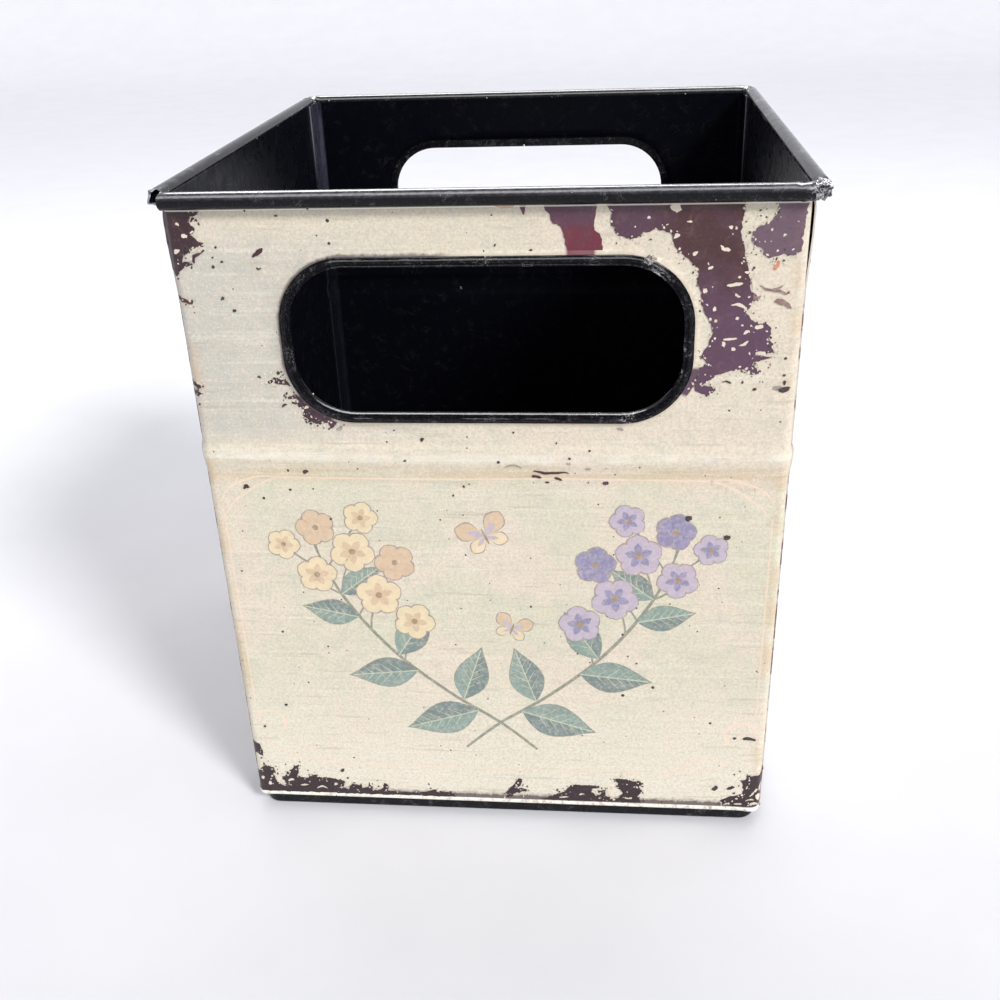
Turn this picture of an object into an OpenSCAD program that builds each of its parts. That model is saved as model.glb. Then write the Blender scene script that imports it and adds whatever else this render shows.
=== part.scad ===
// Open tin box with rolled rims, lapped corners, two edged hand holes and a pressed base.
// The origin is at the centre of the underside; X is the width, Y the depth, Z is up.

/* [Body] */
// Width over the bends of the front and back walls
box_w = 145; // [125:1:200]
// Depth over the front and back walls
box_d = 150; // [80:1:220]
// Height from the table to the top of the rim
box_h = 180; // [130:1:240]
// Thickness of the sheet
sheet_t = 0.4; // [0.3:0.05:0.5]
// Outside radius of the vertical bends
bend_r = 2; // [1.5:0.1:4]

/* [Corner laps] */
// Width of the strip that the front and back walls turn along the side walls
lap_w = 9; // [5:0.5:14]
// Clearance between a lap strip and the side wall outside it
lap_gap = 0.05; // [0.03:0.01:0.2]
// Gap between a bend and the edge of the side wall
lap_edge_gap = 0.3; // [0.1:0.05:1]

/* [Rim] */
// Diameter of the rolled rim
rim_d = 4; // [3:0.1:6]
// Gap between the lip of the roll and the wall
rim_lip_gap = 0.3; // [0.1:0.05:0.6]
// How far the front and back rolls stop short of the corner
rim_end_gap = 0.3; // [0.1:0.05:1]

/* [Ridge] */
// Distance of the crest below the hand hole
ridge_below_hole = 11; // [9:0.1:30]
// How far the crest stands out
ridge_out = 0.5; // [0.2:0.1:1.2]
// Height of the slope above the crest
ridge_above = 2.4; // [1.5:0.1:4]
// Height of the slope below the crest
ridge_below = 5; // [2:0.1:8]

/* [Hem and base] */
// Height of the black skirt below the walls
foot_h = 4; // [2.5:0.1:8]
// How far the skirt stands inside the walls
foot_inset = 1; // [0.5:0.1:3]
// Radius of the corners of the skirt
foot_corner_r = 4.5; // [4:0.1:12]
// Width of the ring that stands on the table
foot_ring_w = 3.5; // [2:0.1:4]
// Outside radius of the bends along the base
foot_bend_r = 0.9; // [0.7:0.1:1.2]
// Width of the turned-in edge of the walls
hem_w = 3; // [2:0.1:5]
// Radius of the bulge along the bottom edge
hem_r = 0.8; // [0.7:0.05:1.2]
// How far the bulge stands out
hem_out = 0.35; // [0.1:0.05:0.6]
// Clearance from the bulge to the lap strip above it, and between two hems at a corner
hem_gap = 0.2; // [0.1:0.05:1]

/* [Hand holes] */
// Clear width
hole_w = 92; // [60:0.2:105]
// Clear height
hole_h = 36; // [30:0.5:50]
// Distance of the clear opening below the top of the rim
hole_below_rim = 17.8; // [12:0.1:30]
// Radius of the four corners of the opening
hole_corner_r = 14; // [4:0.1:14.5]

/* [Hole edging] */
// Width of the edging on the face
edging_w = 2.4; // [1.8:0.1:4]
// Thickness of the edging
edging_t = 0.45; // [0.3:0.05:0.8]
// Radius of the bead along the face
edging_bead_r = 0.6; // [0.4:0.05:0.7]
// Clearance between the edging and the sheet
edging_fit = 0.05; // [0.03:0.01:0.2]
// Gap at the butt joint
edging_joint = 0.4; // [0.1:0.1:2]
// Distance of the butt joint to the right of the middle
edging_joint_x = 1; // [-30:1:30]
// How far the collar round the hole stands out
collar_out = 0.6; // [0.5:0.05:1.5]
// Width of the collar's slope
collar_slope = 1.2; // [0.6:0.1:3]

/* [Hidden] */
$fn = 96;
bead_fn = 32;
printed = [0.87, 0.84, 0.76];
black = [0.11, 0.11, 0.13];
spill = 1; // how far a cutting shape runs past what it cuts
collar_overlap = sheet_t / 2;

// Walls
flat_w = box_w - 2 * bend_r;
side_len = box_d - 2 * (bend_r + lap_edge_gap);
side_face = box_w / 2 + lap_gap + sheet_t;
hem_top = foot_h + 2 * hem_r;

// Roll along the top edge
rim_r = rim_d / 2;
rim_z = box_h - rim_r;
rim_lip_angle = acos(1 - (sheet_t + rim_lip_gap) / rim_r);

// Hand hole, with its collar and its edging
half_w = hole_w / 2;
half_h = hole_h / 2;
hole_z = box_h - hole_below_rim - half_h;
corner_x = half_w - hole_corner_r;
corner_z = half_h - hole_corner_r;
land_w = edging_w + edging_fit;
collar_w = land_w + collar_slope;
edging_front = collar_out + edging_fit;
edging_back = collar_out - sheet_t - edging_fit;

ridge_z = hole_z - half_h - ridge_below_hole;
ridge_top = ridge_z + ridge_above;
ridge_low = ridge_z - ridge_below;

// Draws a copy mirrored to the other side as well
module both_sides() {
    children();
    mirror([1, 0, 0]) children();
}

// A quarter of a sheet ring of outside radius r, from angle a to a + 90
module quarter_ring(r, a) {
    intersection() {
        difference() {
            circle(r);
            circle(r - sheet_t);
        }
        rotate(a) square(r + spill);
    }
}

// Sections of a wall: X is outward from the outer face, Y is the height

// Sheet between low and high that stands out by ridge_out at the crest
module ridge_slope(low, high) {
    rise = high - low;
    arc_r = (rise * rise + ridge_out * ridge_out) / (2 * ridge_out);
    intersection() {
        difference() {
            translate([ridge_out - arc_r, ridge_z]) circle(arc_r);
            translate([ridge_out - arc_r - sheet_t, ridge_z]) circle(arc_r);
        }
        translate([-sheet_t, low]) square([sheet_t + ridge_out, rise]);
    }
}

// Wall from the height low to the middle of the roll
module wall_section(low) {
    translate([-sheet_t, low]) square([sheet_t, ridge_low - low]);
    ridge_slope(ridge_low, ridge_z);
    ridge_slope(ridge_z, ridge_top);
    translate([-sheet_t, ridge_top]) square([sheet_t, rim_z - ridge_top]);
}

module roll_section() {
    translate([rim_r - sheet_t, rim_z]) {
        for (a = [-90, 0, 90]) quarter_ring(rim_r, a);
        intersection() {
            quarter_ring(rim_r, 180);
            rotate(180 + rim_lip_angle) square(rim_r + spill);
        }
    }
}

// Bulge and turned-in edge, which reaches turn_in behind the outer face
module hem_section(turn_in) {
    translate([hem_out - hem_r, foot_h + hem_r])
        for (a = [-90, 0]) quarter_ring(hem_r, a);
    translate([-sheet_t, foot_h + hem_r]) square([sheet_t, hem_r]);
    translate([-turn_in, foot_h]) square([turn_in + hem_out - hem_r, sheet_t]);
}

// Sweeps a section along X, centred, with the outer face at Y = 0 looking to -Y
module along_wall(len) {
    rotate([90, 0, 90]) linear_extrude(len, center = true) mirror([1, 0]) children();
}

// The hand hole's frame: X and Y in the plane of the wall, Z outward from the outer face

module at_hole() {
    translate([0, -box_d / 2, hole_z]) rotate([90, 0, 0]) children();
}

// Sweeps a section round the hole: X is outward from the clear opening, Y is outward from the wall
module round_hole() {
    for (turn = [0, 180]) rotate([0, 0, turn]) {
        translate([0, half_h, 0]) rotate([90, 0, 90])
            linear_extrude(2 * corner_x, center = true) children();
        translate([half_w, 0, 0]) rotate([90, 0, 0])
            linear_extrude(2 * corner_z, center = true) children();
        for (side = [0, 1]) mirror([side, 0, 0]) translate([corner_x, corner_z, 0])
            rotate_extrude(angle = 90) translate([hole_corner_r, 0]) children();
    }
}

// A slab with the outline of the hole, enlarged by grow, from low to high
module hole_slab(grow, low, high) {
    translate([0, 0, low]) linear_extrude(high - low) {
        square([2 * (half_w + grow), 2 * corner_z], center = true);
        square([2 * corner_x, 2 * (half_h + grow)], center = true);
        for (x = [-corner_x, corner_x], y = [-corner_z, corner_z])
            translate([x, y]) circle(hole_corner_r + grow);
    }
}

// Sheet round the hole: a slope and a flat land that the edging clips on. The slope runs on a little
// into the land and into the wall, so that the three are one sheet.
module collar() {
    back = collar_out - sheet_t;
    inner = land_w - collar_overlap;
    outer = collar_w + collar_overlap;
    round_hole() polygon([[inner, back], [land_w, back], [collar_w, -sheet_t], [outer, -sheet_t],
                          [outer, 0], [collar_w, 0], [land_w, collar_out], [inner, collar_out]]);
    difference() {
        hole_slab(land_w, back, collar_out);
        hole_slab(edging_t + edging_fit, back - spill, collar_out + spill);
    }
}

// Channel round the edge of the hole, with a bead on its face and a butt joint at the top
module edging() {
    face = edging_front + edging_t;
    back = edging_back - edging_t;
    difference() {
        union() {
            hole_slab(edging_w, back, face);
            round_hole() translate([edging_w / 2, face]) circle(edging_bead_r, $fn = bead_fn);
        }
        hole_slab(0, back - spill, face + spill);
        difference() {
            hole_slab(edging_w + spill, edging_back, edging_front);
            hole_slab(edging_t, edging_back - spill, edging_front + spill);
        }
        translate([edging_joint_x - edging_joint / 2, half_h - spill, -half_h])
            cube([edging_joint, hole_h, hole_h]);
    }
}

// The front wall: printed face, bends, lap strips, rolled rim and hem
module end_wall() {
    translate([0, -box_d / 2, 0]) {
        difference() {
            along_wall(flat_w) {
                wall_section(hem_top);
                hem_section(sheet_t + hem_w);
                roll_section();
            }
            translate([0, 0, hole_z]) rotate([90, 0, 0]) hole_slab(collar_w, -sheet_t - spill, spill);
        }
        along_wall(box_w - 2 * rim_end_gap) roll_section();
        both_sides() {
            translate([-flat_w / 2, bend_r, 0]) rotate([0, 0, 180])
                rotate_extrude(angle = 90) translate([bend_r, 0]) {
                    wall_section(hem_top);
                    hem_section(bend_r);
                }
            translate([-box_w / 2, bend_r, 0]) mirror([0, 1, 0]) rotate([90, 0, 0])
                linear_extrude(lap_w - bend_r) mirror([1, 0]) wall_section(hem_top + hem_gap);
        }
    }
    at_hole() collar();
}

// A side wall, with its outer face looking to -Y
module side_wall() {
    hem_len = box_d - 2 * (sheet_t + hem_w + hem_gap);
    translate([0, -side_face, 0]) {
        along_wall(side_len) {
            wall_section(hem_top);
            hem_section(sheet_t);
            roll_section();
        }
        along_wall(hem_len) hem_section(sheet_t + hem_w);
    }
}

// Section of the base's skirt: X is outward from the centre of a corner, Y is the height
module skirt_section() {
    bend_x = foot_corner_r - foot_bend_r;
    translate([bend_x, foot_h - foot_bend_r]) quarter_ring(foot_bend_r, 0);
    translate([bend_x, foot_bend_r]) quarter_ring(foot_bend_r, -90);
    translate([foot_corner_r - sheet_t, foot_bend_r]) square([sheet_t, foot_h - 2 * foot_bend_r]);
    translate([0, foot_h - sheet_t]) square([bend_x, sheet_t]);
    translate([foot_corner_r - foot_ring_w, 0]) square([foot_ring_w - foot_bend_r, sheet_t]);
}

module front_panel() {
    color(printed) end_wall();
}

module back_panel() {
    color(printed) rotate([0, 0, 180]) end_wall();
}

module left_panel() {
    color(printed) rotate([0, 0, -90]) side_wall();
}

module right_panel() {
    color(printed) rotate([0, 0, 90]) side_wall();
}

module base_pan() {
    half_x = box_w / 2 - foot_inset - foot_corner_r;
    half_y = box_d / 2 - foot_inset - foot_corner_r;
    color(black) {
        translate([0, 0, foot_h - sheet_t]) linear_extrude(sheet_t)
            square([2 * half_x, 2 * half_y], center = true);
        for (turn = [0, 180]) rotate([0, 0, turn]) {
            translate([half_x, 0, 0]) rotate([90, 0, 0])
                linear_extrude(2 * half_y, center = true) skirt_section();
            translate([0, half_y, 0]) rotate([90, 0, 90])
                linear_extrude(2 * half_x, center = true) skirt_section();
            for (side = [0, 1]) mirror([side, 0, 0]) translate([half_x, half_y, 0])
                rotate_extrude(angle = 90) skirt_section();
        }
    }
}

module front_hole_edging() {
    color(black) at_hole() edging();
}

module back_hole_edging() {
    color(black) rotate([0, 0, 180]) at_hole() edging();
}

front_panel();
back_panel();
left_panel();
right_panel();
base_pan();
front_hole_edging();
back_hole_edging();
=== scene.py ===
import math
import random

import bmesh
import bpy
from mathutils import Euler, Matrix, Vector, noise


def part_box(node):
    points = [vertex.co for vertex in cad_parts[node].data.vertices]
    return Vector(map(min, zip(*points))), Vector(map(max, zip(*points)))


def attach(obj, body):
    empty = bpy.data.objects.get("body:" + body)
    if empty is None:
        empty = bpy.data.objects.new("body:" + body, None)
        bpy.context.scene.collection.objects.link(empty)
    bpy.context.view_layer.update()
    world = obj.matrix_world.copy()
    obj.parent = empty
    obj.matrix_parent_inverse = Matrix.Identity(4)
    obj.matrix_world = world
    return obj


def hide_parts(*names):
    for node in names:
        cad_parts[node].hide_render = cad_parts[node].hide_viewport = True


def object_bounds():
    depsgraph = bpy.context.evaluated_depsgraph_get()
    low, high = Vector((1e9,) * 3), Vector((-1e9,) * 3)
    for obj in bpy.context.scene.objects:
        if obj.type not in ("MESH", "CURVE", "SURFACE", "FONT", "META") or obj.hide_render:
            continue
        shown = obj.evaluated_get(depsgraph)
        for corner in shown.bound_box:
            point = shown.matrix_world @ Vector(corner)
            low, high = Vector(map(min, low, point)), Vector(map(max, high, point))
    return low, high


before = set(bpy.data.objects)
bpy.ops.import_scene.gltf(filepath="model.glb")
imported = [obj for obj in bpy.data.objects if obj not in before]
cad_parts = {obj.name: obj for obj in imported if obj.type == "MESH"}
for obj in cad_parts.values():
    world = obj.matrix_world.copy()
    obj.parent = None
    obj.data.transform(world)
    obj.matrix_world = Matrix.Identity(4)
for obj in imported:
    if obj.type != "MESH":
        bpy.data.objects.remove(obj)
cad_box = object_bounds()

# Without a seed the offsets inside noise_vector come from the clock
noise.seed_set(1)

# Lengths of the box are in millimetres, and MM turns them into Blender's metres
MM = 0.001
base_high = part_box("base_pan")[1] / MM
trim_low, trim_high = (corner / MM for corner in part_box("front_hole_edging"))
panel_low, panel_high = (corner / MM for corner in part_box("front_panel"))

FOOT_INSET = 1.0
WALL_X = base_high.x + FOOT_INSET
WALL_Y = base_high.y + FOOT_INSET
RIM_TOP = panel_high.z
WALL_LOW = panel_low.z
SHEET = 0.4
SIDE_GAP = 0.05
BEND_R = 2.0
LAP_W = 9.0
RIM_R = 2.0
ROLL_GAP = 0.3

EDGING_W = 2.4
HOLE_HALF_W = trim_high.x - EDGING_W
HOLE_HALF_H = (trim_high.z - trim_low.z) / 2 - EDGING_W
HOLE_Z = (trim_high.z + trim_low.z) / 2
HOLE_R = 14.0
JOINT_X = 1.0
JOINT_GAP = 0.4

RIDGE_OUT = 0.5
RIDGE_ABOVE = 2.4
RIDGE_BELOW = 5.0
RIDGE_Z = HOLE_Z - HOLE_HALF_H - 11.0


# Surface of the walls

class Wall:
    """One wall: u runs to the right along its outer face, seen from outside, and z is the height."""

    def __init__(self, name, turn, out, flat, bent):
        self.name = name
        self.turn = math.radians(turn)
        self.out = out
        self.flat = flat
        self.bent = bent

    def point(self, u, z, lift):
        """The place at u and z, lifted off the face, in millimetres."""
        lift += ridge_height(z)
        if abs(u) <= self.flat or not self.bent:
            x, y = u, -(self.out + lift)
        else:
            angle = (abs(u) - self.flat) / BEND_R
            x = math.copysign(self.flat + (BEND_R + lift) * math.sin(angle), u)
            y = -(self.out - BEND_R) - (BEND_R + lift) * math.cos(angle)
        return warp(self.turned(Vector((x, y, z))))

    def turned(self, p):
        """A place drawn for the front, turned to this wall."""
        c, s = math.cos(self.turn), math.sin(self.turn)
        return Vector((p.x * c - p.y * s, p.x * s + p.y * c, p.z))


def ridge_height(z):
    """How far the ridge stands out of the wall at the height z."""
    reach = RIDGE_ABOVE if z > RIDGE_Z else RIDGE_BELOW
    away = abs(z - RIDGE_Z)
    if away >= reach:
        return 0.0
    radius = (reach ** 2 + RIDGE_OUT ** 2) / (2 * RIDGE_OUT)
    return RIDGE_OUT - radius + math.sqrt(radius ** 2 - away ** 2)


def smooth(low, high, value):
    """Smooth step from 0 to 1 as the value goes from low to high."""
    t = min(1.0, max(0.0, (value - low) / (high - low)))
    return t * t * (3 - 2 * t)


WAVE_SIZE = 38.0
WAVE_DEPTH = 0.3
WAVE_LOW = 30.0
STIFF_RIM = 25.0
WALL_ZONE = (60.0, 70.0)
SIDE_INSIDE = WALL_X + SIDE_GAP / 2
INSET = 0.01

# Under the rim the front edges of the side walls flare outward
FLARE = 0.65
FLARE_RISE = (154.0, 170.0)
FLARE_TOP = 173.0
FLARE_DEPTH = (-64.0, -73.0)

# Bumped places: where, how far the bump reaches, how deep it is, and the size of its folds
DENTS = (
    (Vector((74.3, -75.6, 178.4)), 7.5, 1.3, 1.7),
    (Vector((-74.3, -74.8, 178.4)), 5.0, 1.3, 1.7),
    (Vector((-74.0, 74.5, 178.2)), 4.5, 0.5, 1.7),
    (Vector((74.0, 74.5, 178.2)), 4.5, 0.5, 1.7),
    (Vector((72.6, -74.4, 7.0)), 9.0, 0.4, 6.0),
    (Vector((-72.6, -74.6, 6.0)), 6.0, 0.2, 6.0),
)


def inside_box(p):
    """The place, kept a little inside the CAD box."""
    low, high = (corner / MM for corner in cad_box)
    return Vector([min(max(v, a + INSET), b - INSET) for v, a, b in zip(p, low, high)])


def warp(p):
    """The sheet's slight unevenness: walls bulge between corners, and knocked corners are dented."""
    x_stiff = math.cos(math.pi / 2 * min(1.0, abs(p.x) / WALL_X))
    y_stiff = math.cos(math.pi / 2 * min(1.0, abs(p.y) / WALL_Y))
    level = smooth(WALL_LOW, WAVE_LOW, p.z) * smooth(RIM_TOP, RIM_TOP - STIFF_RIM, p.z)
    wave = WAVE_DEPTH * level * noise.noise(p / WAVE_SIZE)
    q = p.copy()
    q.y += wave * x_stiff * smooth(*WALL_ZONE, abs(p.y))
    q.x += wave * y_stiff * smooth(*WALL_ZONE, abs(p.x))
    if abs(p.x) > SIDE_INSIDE:
        level = smooth(*FLARE_RISE, p.z) * smooth(RIM_TOP - RIM_R, FLARE_TOP, p.z)
        q.x += math.copysign(FLARE * level * smooth(*FLARE_DEPTH, p.y), p.x)
    for place, reach, depth, fold in DENTS:
        fade = smooth(reach, 0.3 * reach, (p - place).length)
        if fade > 0 and (place.z < RIDGE_Z or p.z > RIM_TOP - 2 * RIM_R):
            q += depth * fade * noise.noise_vector(p / fold + place)
    return inside_box(q)


FRONT = Wall("front", 0, WALL_Y, WALL_X - BEND_R, True)
BACK = Wall("back", 180, WALL_Y, WALL_X - BEND_R, True)
LEFT = Wall("left", -90, WALL_X + SIDE_GAP + SHEET, WALL_Y, False)
RIGHT = Wall("right", 90, WALL_X + SIDE_GAP + SHEET, WALL_Y, False)


# Materials

CREST_SAG = 1.2
RIM_LINE = RIM_TOP - 4.75


class Graph:
    """A material's node tree, built call by call. Lengths are in millimetres."""

    def __init__(self, name):
        self.material = bpy.data.materials.new(name)
        self.material.use_nodes = True
        self.nodes = self.material.node_tree.nodes
        self.links = self.material.node_tree.links
        self.bsdf = self.nodes["Principled BSDF"]
        place = self.add("ShaderNodeTexCoord").outputs["Object"]
        self.place = self.vector("SCALE", place, scale=1 / MM)
        self.x, self.y, self.z = self.split(self.place)

    def add(self, kind, **settings):
        node = self.nodes.new(kind)
        for key, value in settings.items():
            setattr(node, key, value)
        return node

    def feed(self, socket, value):
        if isinstance(value, bpy.types.NodeSocket):
            self.links.new(value, socket)
        else:
            socket.default_value = value

    def math(self, operation, a, b=0.5, c=0.5, clamp=False):
        node = self.add("ShaderNodeMath", operation=operation, use_clamp=clamp)
        for socket, value in zip(node.inputs, (a, b, c)):
            self.feed(socket, value)
        return node.outputs[0]

    def times(self, a, b):
        return self.math("MULTIPLY", a, b)

    def vector(self, operation, a, b=(0, 0, 0), scale=1.0):
        node = self.add("ShaderNodeVectorMath", operation=operation)
        self.feed(node.inputs[0], a)
        if operation == "SCALE":
            self.feed(node.inputs["Scale"], scale)
        else:
            self.feed(node.inputs[1], b)
        return node.outputs["Value" if operation in ("LENGTH", "DISTANCE", "DOT_PRODUCT") else "Vector"]

    def stretched(self, x, y, z):
        """Places scaled along each axis, to draw noise out into streaks."""
        return self.vector("MULTIPLY", self.place, (x, y, z))

    def split(self, vector):
        """The three parts of a vector."""
        node = self.add("ShaderNodeSeparateXYZ")
        self.feed(node.inputs[0], vector)
        return node.outputs

    def noise(self, size, detail=3.0, roughness=0.55, vector=None, distortion=0.0):
        """Noise whose blobs are about size millimetres across."""
        node = self.add("ShaderNodeTexNoise")
        self.feed(node.inputs["Vector"], vector or self.place)
        for name, value in (("Scale", 1 / size), ("Detail", detail), ("Roughness", roughness),
                            ("Distortion", distortion)):
            node.inputs[name].default_value = value
        return node.outputs["Fac"]

    def ramp(self, value, low, high, to_low=0.0, to_high=1.0):
        """Smooth step of value from low to high."""
        node = self.add("ShaderNodeMapRange", interpolation_type="SMOOTHSTEP")
        for socket, number in zip(node.inputs, (value, low, high, to_low, to_high)):
            self.feed(socket, number)
        return node.outputs[0]

    def mix(self, amount, a, b, blend="MIX"):
        node = self.add("ShaderNodeMix", data_type="RGBA", blend_type=blend)
        self.feed(node.inputs["Factor"], amount)
        self.feed(node.inputs[6], a)
        self.feed(node.inputs[7], b)
        return node.outputs[2]

    def lay(self, amount, tone):
        """Lays a tone over the colour so far."""
        self.colour = self.mix(amount, self.colour, tone)

    def gloss(self, size, low, high, specular=0.5):
        """Roughness from low to high in blobs of that size, and the strength of reflections."""
        self.feed(self.bsdf.inputs["Roughness"], self.ramp(self.noise(size, 4), 0.3, 0.7, low, high))
        self.bsdf.inputs["Specular IOR Level"].default_value = specular

    def bump(self, size, detail, roughness, depth, strength):
        """Unevenness in blobs of that size, and of that depth in millimetres."""
        node = self.add("ShaderNodeBump")
        node.inputs["Strength"].default_value = strength
        node.inputs["Distance"].default_value = depth * MM
        self.feed(node.inputs["Height"], self.noise(size, detail, roughness))
        self.feed(self.bsdf.inputs["Normal"], node.outputs[0])

    def done(self):
        """The material, painted with the colour laid so far."""
        self.feed(self.bsdf.inputs["Base Color"], self.colour)
        return self.material

    def specks(self, cell, share, size):
        """Small spots: one in each cell of that size, of which only a share is kept."""
        node = self.add("ShaderNodeTexVoronoi")
        self.feed(node.inputs["Vector"], self.place)
        node.inputs["Scale"].default_value = 1 / cell
        pick = self.split(node.outputs["Color"])[0]
        reach = self.times(self.math("LESS_THAN", pick, share), size / cell)
        uneven = self.times(reach, self.times(pick, 1 / share))
        ragged = self.math("MULTIPLY_ADD", self.noise(size, 2), 0.5 * size / cell, node.outputs["Distance"])
        return self.ramp(self.math("SUBTRACT", uneven, ragged), -0.15 * size / cell, 0.0)

    def warble(self, size, reach):
        """A small push in a direction that changes over size millimetres."""
        node = self.add("ShaderNodeTexNoise")
        self.feed(node.inputs["Vector"], self.place)
        node.inputs["Scale"].default_value = 1 / size
        middle = self.vector("SUBTRACT", node.outputs["Color"], (0.5, 0.5, 0.5))
        return self.vector("SCALE", middle, scale=reach)

    def cracks(self, cell, width, vector):
        """Lines of that width between cells of that size, in millimetres."""
        node = self.add("ShaderNodeTexVoronoi", feature="DISTANCE_TO_EDGE")
        self.feed(node.inputs["Vector"], vector)
        node.inputs["Scale"].default_value = 1 / cell
        return self.ramp(node.outputs["Distance"], width / cell * 1.5, width / cell * 0.5)


def rgb(red, green, blue):
    """A colour given as 0 to 255 display values, as Blender's linear ones."""
    def linear(v):
        v /= 255
        return v / 12.92 if v <= 0.04045 else ((v + 0.055) / 1.055) ** 2.4
    return (linear(red), linear(green), linear(blue), 1.0)


CREAM = rgb(225, 212, 192)
CREAM_GREY = rgb(193, 191, 181)
CREAM_GREEN = rgb(214, 211, 186)
CREAM_PALE = rgb(236, 229, 213)
CREAM_PINK = rgb(231, 207, 190)
OCHRE = rgb(203, 172, 128)
# Grime of the ground, also the faint painted shade round the front hole's edging
GRIME_AND_SHADE = rgb(176, 162, 138)
LIP = rgb(247, 242, 228)
# The dark band above the hem
HEM_DARK = rgb(82, 64, 65)
SPECK = rgb(58, 46, 46)
BROWN = rgb(70, 38, 39)
MAROON = rgb(48, 25, 32)
PURPLE = rgb(88, 59, 80)
PURPLE_GREY = rgb(86, 58, 76)
CORNER_WORN = rgb(108, 86, 100)
CLOUDED = rgb(146, 112, 106)
# Painted shadow beside the left half of the front hole's edging
HOLE_SHADOW = rgb(92, 66, 58)
PRIMER_LOW = rgb(48, 33, 37)
RED = rgb(106, 38, 54)
ORANGE = rgb(214, 118, 72)
BARE = rgb(196, 194, 198)
BLACK = rgb(14, 13, 17)
BLACK_DEEP = rgb(9, 10, 17)
# Dust, also the colour of the painted sheen on top of the front roll
DUST_AND_SHEEN = rgb(92, 90, 98)
# Painted highlight inside the back-left bend
BEND_HIGHLIGHT_BLUE = rgb(96, 98, 116)

# Places where wear reaches the edging of the front hole: where, how far, and its colour
HOLE_STAINS = (
    ((22.4, -WALL_Y, 165.0), 4.0, RED),
    ((-43.0, -WALL_Y, 126.5), 6.5, BROWN),
    ((48.2, -WALL_Y, 134.0), 4.5, PURPLE_GREY),
)


def hole_shade_and_wear(g):
    """Painted shade in the corner outside the edging: a painted shadow over the left half, faint painted
    shade elsewhere, maroon wear high on the left, and stains where wear reaches the edging.
    """
    x, z = g.x, g.z
    across = g.math("MAXIMUM", g.math("SUBTRACT", g.math("ABSOLUTE", x), HOLE_HALF_W - HOLE_R), 0.0)
    rise = g.math("ABSOLUTE", g.math("SUBTRACT", z, HOLE_Z))
    up = g.math("MAXIMUM", g.math("SUBTRACT", rise, HOLE_HALF_H - HOLE_R), 0.0)
    away = g.math("SQRT", g.math("ADD", g.times(across, across), g.times(up, up)))
    away = g.math("SUBTRACT", away, HOLE_R + EDGING_W)
    away = g.math("MULTIPLY_ADD", g.math("SUBTRACT", g.noise(2.5, 4, 0.7), 0.5), 1.4, away)
    left = g.times(g.ramp(x, -4, -12), g.ramp(z, HOLE_Z - 14, HOLE_Z - 4))
    # Painted shadow on the left of the edging, faint painted shade round the rest, maroon wear high on the
    # left
    colour = g.mix(left, GRIME_AND_SHADE, g.mix(g.ramp(z, HOLE_Z + 14, HOLE_Z + 17), HOLE_SHADOW, MAROON))
    amount = g.times(g.ramp(away, 0.9, 0.15), g.ramp(left, 0.0, 1.0, 0.4, 0.85))
    beside = g.times(g.ramp(away, 2.0, 1.6), g.ramp(g.y, 0, -10))
    broken = g.times(beside, g.ramp(g.noise(1.3, 4, 0.7), 0.28, 0.36))
    for place, reach, tone in HOLE_STAINS:
        stain = g.times(broken, near(g, place, 0.7 * reach, reach))
        colour = g.mix(stain, colour, tone)
        amount = g.math("MAXIMUM", amount, stain)
    return colour, amount


def aged_ground(g):
    """Cream ground: cloudy, greener below the ridge, greyer beside the front hole with painted shade on the
    left and grey blotches, pale low down.
    """
    x, y, z = g.x, g.y, g.z
    cloud = g.noise(20, 3)
    blotch = g.noise(5, 5, 0.65)
    below = g.ramp(z, RIDGE_Z - 8, RIDGE_Z, 0.95, 0.4)
    g.colour = g.mix(g.times(g.ramp(cloud, 0.38, 0.62), below), CREAM, CREAM_GREEN)
    # Painted shade: the front turns greyer towards its left, between the ridge and the rim, as the light
    # falls from the right; grey blotches are added to it
    left = g.times(g.ramp(x, 0, -72, 0.0, 0.85), g.ramp(z, RIDGE_Z, RIDGE_Z + 8))
    left = g.times(left, g.ramp(z, RIM_TOP - 6, RIM_TOP - 16))
    left = g.times(left, g.ramp(y, 20, -70))
    left = g.math("ADD", left, g.times(g.ramp(blotch, 0.45, 0.7), 0.4), clamp=True)
    g.lay(left, CREAM_GREY)
    g.lay(g.ramp(z, 62, 5, 0.0, 0.75), CREAM_PALE)
    g.lay(g.times(g.ramp(g.noise(2.6, 4, 0.7), 0.5, 0.72), 0.4), CREAM_PINK)


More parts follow.
